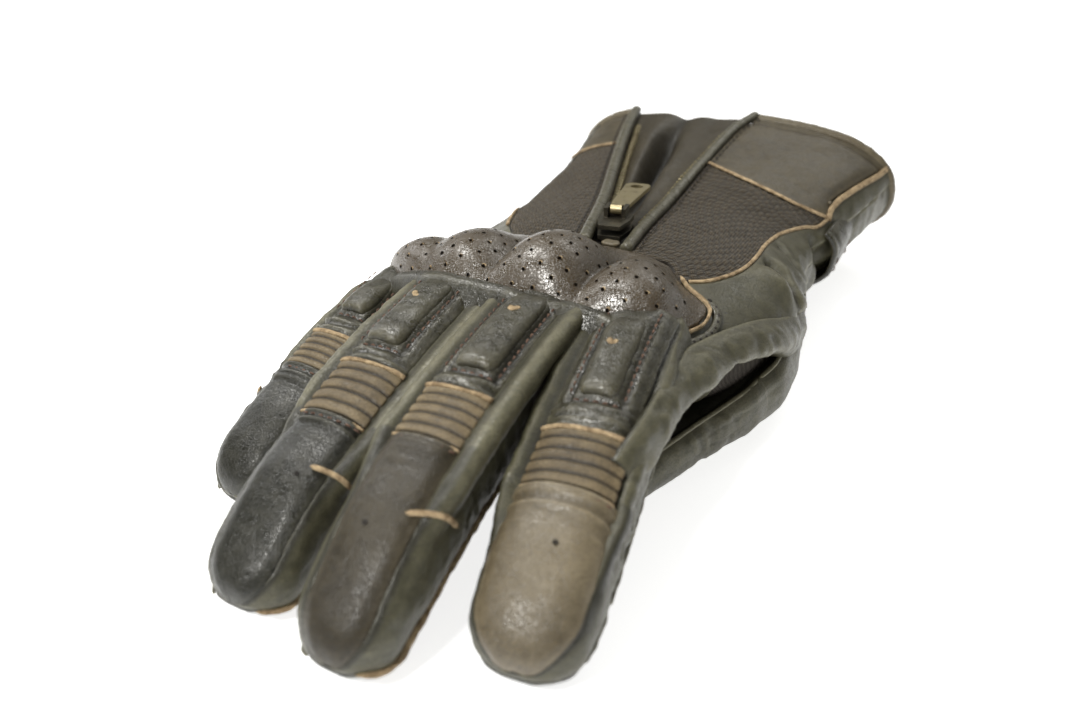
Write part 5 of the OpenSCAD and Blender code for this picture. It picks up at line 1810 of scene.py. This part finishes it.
def patch_radii(turns, centre):
    """Distance from the centre to the patch's outline, its corners rounded by averaging."""
    radii = np.zeros_like(turns)
    for i, turn in enumerate(turns):
        ray = np.array([math.cos(turn), math.sin(turn)])
        nearest = 1e9
        for k in range(6):
            start = PATCH_CORNERS[k]
            side = PATCH_CORNERS[(k + 1) % 6] - start
            away = start - centre
            cross = ray[0] * side[1] - ray[1] * side[0]
            if abs(cross) > 1e-9:
                dist = (away[0] * side[1] - away[1] * side[0]) / cross
                part = (away[0] * ray[1] - away[1] * ray[0]) / cross
                if dist > 0 and -1e-6 <= part <= 1 + 1e-6:
                    nearest = min(nearest, dist)
        radii[i] = nearest
    weights = np.exp(-(np.arange(-14, 15) / 6.0) ** 2)
    weights /= weights.sum()
    return np.convolve(np.concatenate([radii[-14:], radii, radii[:14]]), weights, 'valid') - 0.6


def build_palm_patch():
    count = 160
    turns = np.linspace(0, 2 * np.pi, count + 1)[:-1]
    centre = PATCH_CORNERS.mean(0)
    outline = patch_radii(turns, centre)
    shares = np.concatenate([[0.02], np.linspace(0.08, 0.9, 30),
                             1 - np.array([2.4, 1.6, 1.0, 0.55, 0.25, 0.1, 0.0]) / 30])
    radii = shares[:, None] * outline
    x, y = centre[0] + radii * np.cos(turns), centre[1] + radii * np.sin(turns)
    edge = outline - radii
    z = (-edge_drop(edge, 1.1) + 0.55 * bell(edge, 3.2, 0.7) + 0.12
         + 0.12 * fbm(np.stack([x, y, 0 * x], -1), 6, 501))
    under = np.stack([x, y, np.maximum(z, 0.0)], -1)
    upper = np.stack([x, y, 0 * x + 2.4], -1)
    verts = np.concatenate([under.reshape(-1, 3), upper.reshape(-1, 3),
                            [[*centre, 0.1], [*centre, 2.4]]])
    total = len(shares) * count
    here = np.arange(count)
    beside = (here + 1) % count
    pole = 0 * here + 2 * total
    tris = np.concatenate([np.stack([beside, here, pole], -1),
                           np.stack([here + total, beside + total, pole + 1], -1)])
    ride(make('palm_heel_patch', verts, slab_faces(len(shares), count, True, start=False),
              'brown_leather', dict(wear=0.25 + 0.3 * noise(verts / 6.0, 503)), tris),
         'palm_patch')
    path = np.stack([centre[0] + (outline - 3.2) * np.cos(turns),
                     centre[1] + (outline - 3.2) * np.sin(turns), 0 * turns + 0.45], -1)
    row = (np.concatenate([path, path[:1]]), np.tile([0, 0, -1.0], (count + 1, 1)))
    ride(stitches('palm_patch_stitches', [row], 'thread_tan', length=2.3, gap=0.9,
                  radius=0.26, arch=0.2))


def blend_strap(ob):
    """Bakes the strap piece's transform into its mesh."""
    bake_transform(ob)


def build_strap():
    # round the thumb side: angle and distance off the hand; then flat under the palm, at x
    wrapped = [(16, 0.4), (8, 1.5), (0, 2.5), (-14, 2.6), (-28, 2.5), (-42, 2.5), (-56, 2.8),
               (-70.0, 3.3)]
    end_x = 66 - STRAP_REACH
    flat = (16, 2, end_x + 8, end_x)
    pts = np.array([hand(ang, STRAP_Y, -off) for ang, off in wrapped]
                   + [[x, STRAP_Y, 1.0] for x in flat])
    normals = np.array([hand_normal(ang, STRAP_Y) for ang, _ in wrapped]
                       + [[0, 0, -1.0] for _ in flat])
    run = travelled(pts)
    length = run[-1]
    path = [curve(run, pts[:, k]) for k in range(3)]
    facing = [curve(run, normals[:, k]) for k in range(3)]

    def surface(row, col):
        along = row * length
        end = np.clip((along - (length - 9)) / 9, 0, 1)
        width = STRAP_WIDTH * mix(0.98, 1.0, row)
        width = width * np.sqrt(np.clip(1 - (end * 0.93) ** 2.6, 0, 1))
        out = np.stack([axis(along) for axis in path], -1)
        out[..., 1] = STRAP_Y + (col - 0.5) * width + 0.6 * np.sin(along / 11.0)
        return out

    def shape(net):
        rise = 0.25 * fbm(net.pts, 8, 601)
        rise = rise - 0.4 * bell(np.minimum.reduce(net.edges[1:]), 3.0, 0.6)
        rise = rise + 0.9 * bell(net.down, 6, 4) * np.sin(np.pi * net.col)
        return np.where(net.z < 6, np.clip(rise, -0.5, 0.25), rise), 0.15

    strap = panel('strap_leather', surface, 'dark_leather', shape, step=0.8,
                  rims=(0.4, 1.0, 1.0, 1.0), thick=1.5)
    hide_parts('wrist_strap')
    blend_strap(strap)
    along = np.linspace(10, length - 4, 120)
    up = unit(np.stack([axis(along) for axis in facing], -1))
    rows = [(surface(along / length, col + 0 * along) + up * 0.05, up)
            for col in (3.0 / STRAP_WIDTH, 1 - 3.0 / STRAP_WIDTH)]
    blend_strap(stitches('strap_stitches', rows, 'thread_brown', length=2.3, gap=0.9,
                         radius=0.27))
    # name, CAD part, body, first x, last x, half width, z, side the face looks to, seed
    for name, part, body, *place in (
            ('loop_field', 'strap_loop_pad', 'hand', -24, 14, 9, 3.0, -1, 611),
            ('hook_tab', 'strap_hook_pad', 'strap', -17, 13, 7.5, 2.65, 1, 613)):
        tab = fastener(name, *place)
        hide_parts(part)
        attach(tab, body)


def fastener(name, first_x, last_x, half_width, z, side, seed):
    """Flat pad of hook and loop."""
    def surface(row, col):
        y = mix(STRAP_Y - half_width, STRAP_Y + half_width, col)
        return np.stack([mix(first_x, last_x, row), y, 0 * row + z], -1)

    def shape(net):
        return 0.22 * np.abs(noise(net.pts * 1.4, seed)) * smooth(0, 1, net.edge) - 0.15, 0

    return panel(name, surface, 'hook_loop', shape, step=0.5, rims=(0.4, 0.4, 0.4, 0.4),
                 thick=0.75, sign=side)


# ---------------------------------------------------------------- zip metal
def finish_zip_metal():
    """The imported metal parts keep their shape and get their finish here."""
    for part, mat in (('zip_slider', 'zip_slider_metal'), ('zip_pull', 'zip_brass'),
                      ('zip_teeth', 'zip_brass')):
        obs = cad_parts[part]
        # a part may be packed as one object or several, with or without a slot
        for ob in (obs if isinstance(obs, (list, tuple)) else [obs]):
            if not ob.material_slots:
                ob.data.materials.append(MATS[mat])
            for slot in ob.material_slots:
                slot.material = MATS[mat]


# ---------------------------------------------------------------- floor, light, camera
def build_floor():
    half = 3.0
    mesh = bpy.data.meshes.new('floor')
    mesh.from_pydata([(-half, -half, 0), (half, -half, 0), (half, half, 0), (-half, half, 0)],
                     [], [(0, 1, 2, 3)])
    floor = bpy.data.objects.new('floor', mesh)
    bpy.context.scene.collection.objects.link(floor)
    mat = Shader('floor_white')
    mat.finish(Base_Color=(0.86, 0.87, 0.88), Roughness=0.6, Emission_Color=(1.0, 1.0, 1.0),
               Emission_Strength=0.80)
    # only the upper face shows, so the palm side can be seen from below
    geometry = mat.node('ShaderNodeNewGeometry')
    clear = mat.node('ShaderNodeBsdfTransparent')
    either = mat.node('ShaderNodeMixShader', {
        0: geometry.outputs['Backfacing'], 1: mat.surface.outputs[0], 2: clear.outputs[0]})
    output = next(n for n in mat.tree.nodes if n.type == 'OUTPUT_MATERIAL')
    mat.put(output.inputs['Surface'], either.outputs[0])
    mesh.materials.append(MATS['floor_white'])
    floor.location.z = -0.0002


def build_world():
    """Dim warm light, seen by the camera as a white wall."""
    world = bpy.data.worlds.new('studio')
    bpy.context.scene.world = world
    world.use_nodes = True
    nodes, links = world.node_tree.nodes, world.node_tree.links
    light = nodes['Background']
    light.inputs['Color'].default_value = (1.0, 0.985, 0.91, 1)
    light.inputs['Strength'].default_value = 0.24
    wall = nodes.new('ShaderNodeBackground')
    wall.inputs['Color'].default_value = (1, 1, 1, 1)
    wall.inputs['Strength'].default_value = 1.0
    rays, either = nodes.new('ShaderNodeLightPath'), nodes.new('ShaderNodeMixShader')
    output = next(n for n in nodes if n.type == 'OUTPUT_WORLD')
    links.new(rays.outputs['Is Camera Ray'], either.inputs[0])
    links.new(light.outputs[0], either.inputs[1])
    links.new(wall.outputs[0], either.inputs[2])
    links.new(either.outputs[0], output.inputs['Surface'])


def area(name, place, target, size, power, color=(1, 1, 1)):
    light = bpy.data.lights.new(name, 'AREA')
    light.shape = 'RECTANGLE'
    light.size, light.size_y = size
    light.energy = power
    light.color = color
    ob = bpy.data.objects.new(name, light)
    bpy.context.scene.collection.objects.link(ob)
    ob.location = place
    ob.rotation_euler = (Vector(target) - Vector(place)).to_track_quat('-Z', 'Y').to_euler()


def build_lights():
    area('top_box', place=(0.10, 0.70, 0.60), target=(0.0, 0.0, 0.02), size=(0.6, 0.35),
         power=1.8, color=(1.0, 0.99, 0.95))
    area('key_box', place=(-0.31, 0.05, 0.68), target=(0.0, -0.01, 0.03), size=(0.24, 0.42),
         power=4.3, color=(1.0, 0.985, 0.94))
    area('front_box', place=(-0.12, -0.56, 0.57), target=(0.0, -0.01, 0.03),
         size=(0.16, 0.12), power=4.4, color=(1.0, 0.985, 0.94))
    area('left_box', place=(-0.62, 0.10, 0.30), target=(0.0, 0.0, 0.03), size=(0.30, 0.18),
         power=0.8)


def build_camera():
    camera = bpy.data.cameras.new('camera')
    camera.lens = 35.558
    camera.sensor_width = 36.0
    camera.sensor_fit = 'HORIZONTAL'
    camera.clip_start = 0.01
    camera.dof.use_dof = True
    camera.dof.focus_distance = 0.285
    camera.dof.aperture_fstop = 11.0
    ob = bpy.data.objects.new('camera', camera)
    bpy.context.scene.collection.objects.link(ob)
    right = Vector((0.8913, 0.45304, -0.01848)).normalized()
    view = Vector((-0.40277, 0.77235, -0.49117)).normalized()
    up = right.cross(view).normalized()
    right = view.cross(up).normalized()
    place = (0.12259, -0.26710, 0.16163)
    ob.matrix_world = Matrix((*zip(right, up, -view, place), (0, 0, 0, 1)))
    bpy.context.scene.camera = ob


# ---------------------------------------------------------------- build
build_materials()
for finger in FINGERS:
    build_finger(finger)
build_hand()
build_zip()
guard_holes(guard_cover())
finger_yoke()
guard_edge()
build_thumb()
build_web()
build_palm_patch()
build_strap()
finish_zip_metal()
build_floor()
build_world()
build_lights()
build_camera()
bpy.context.scene.view_settings.view_transform = 'Standard'
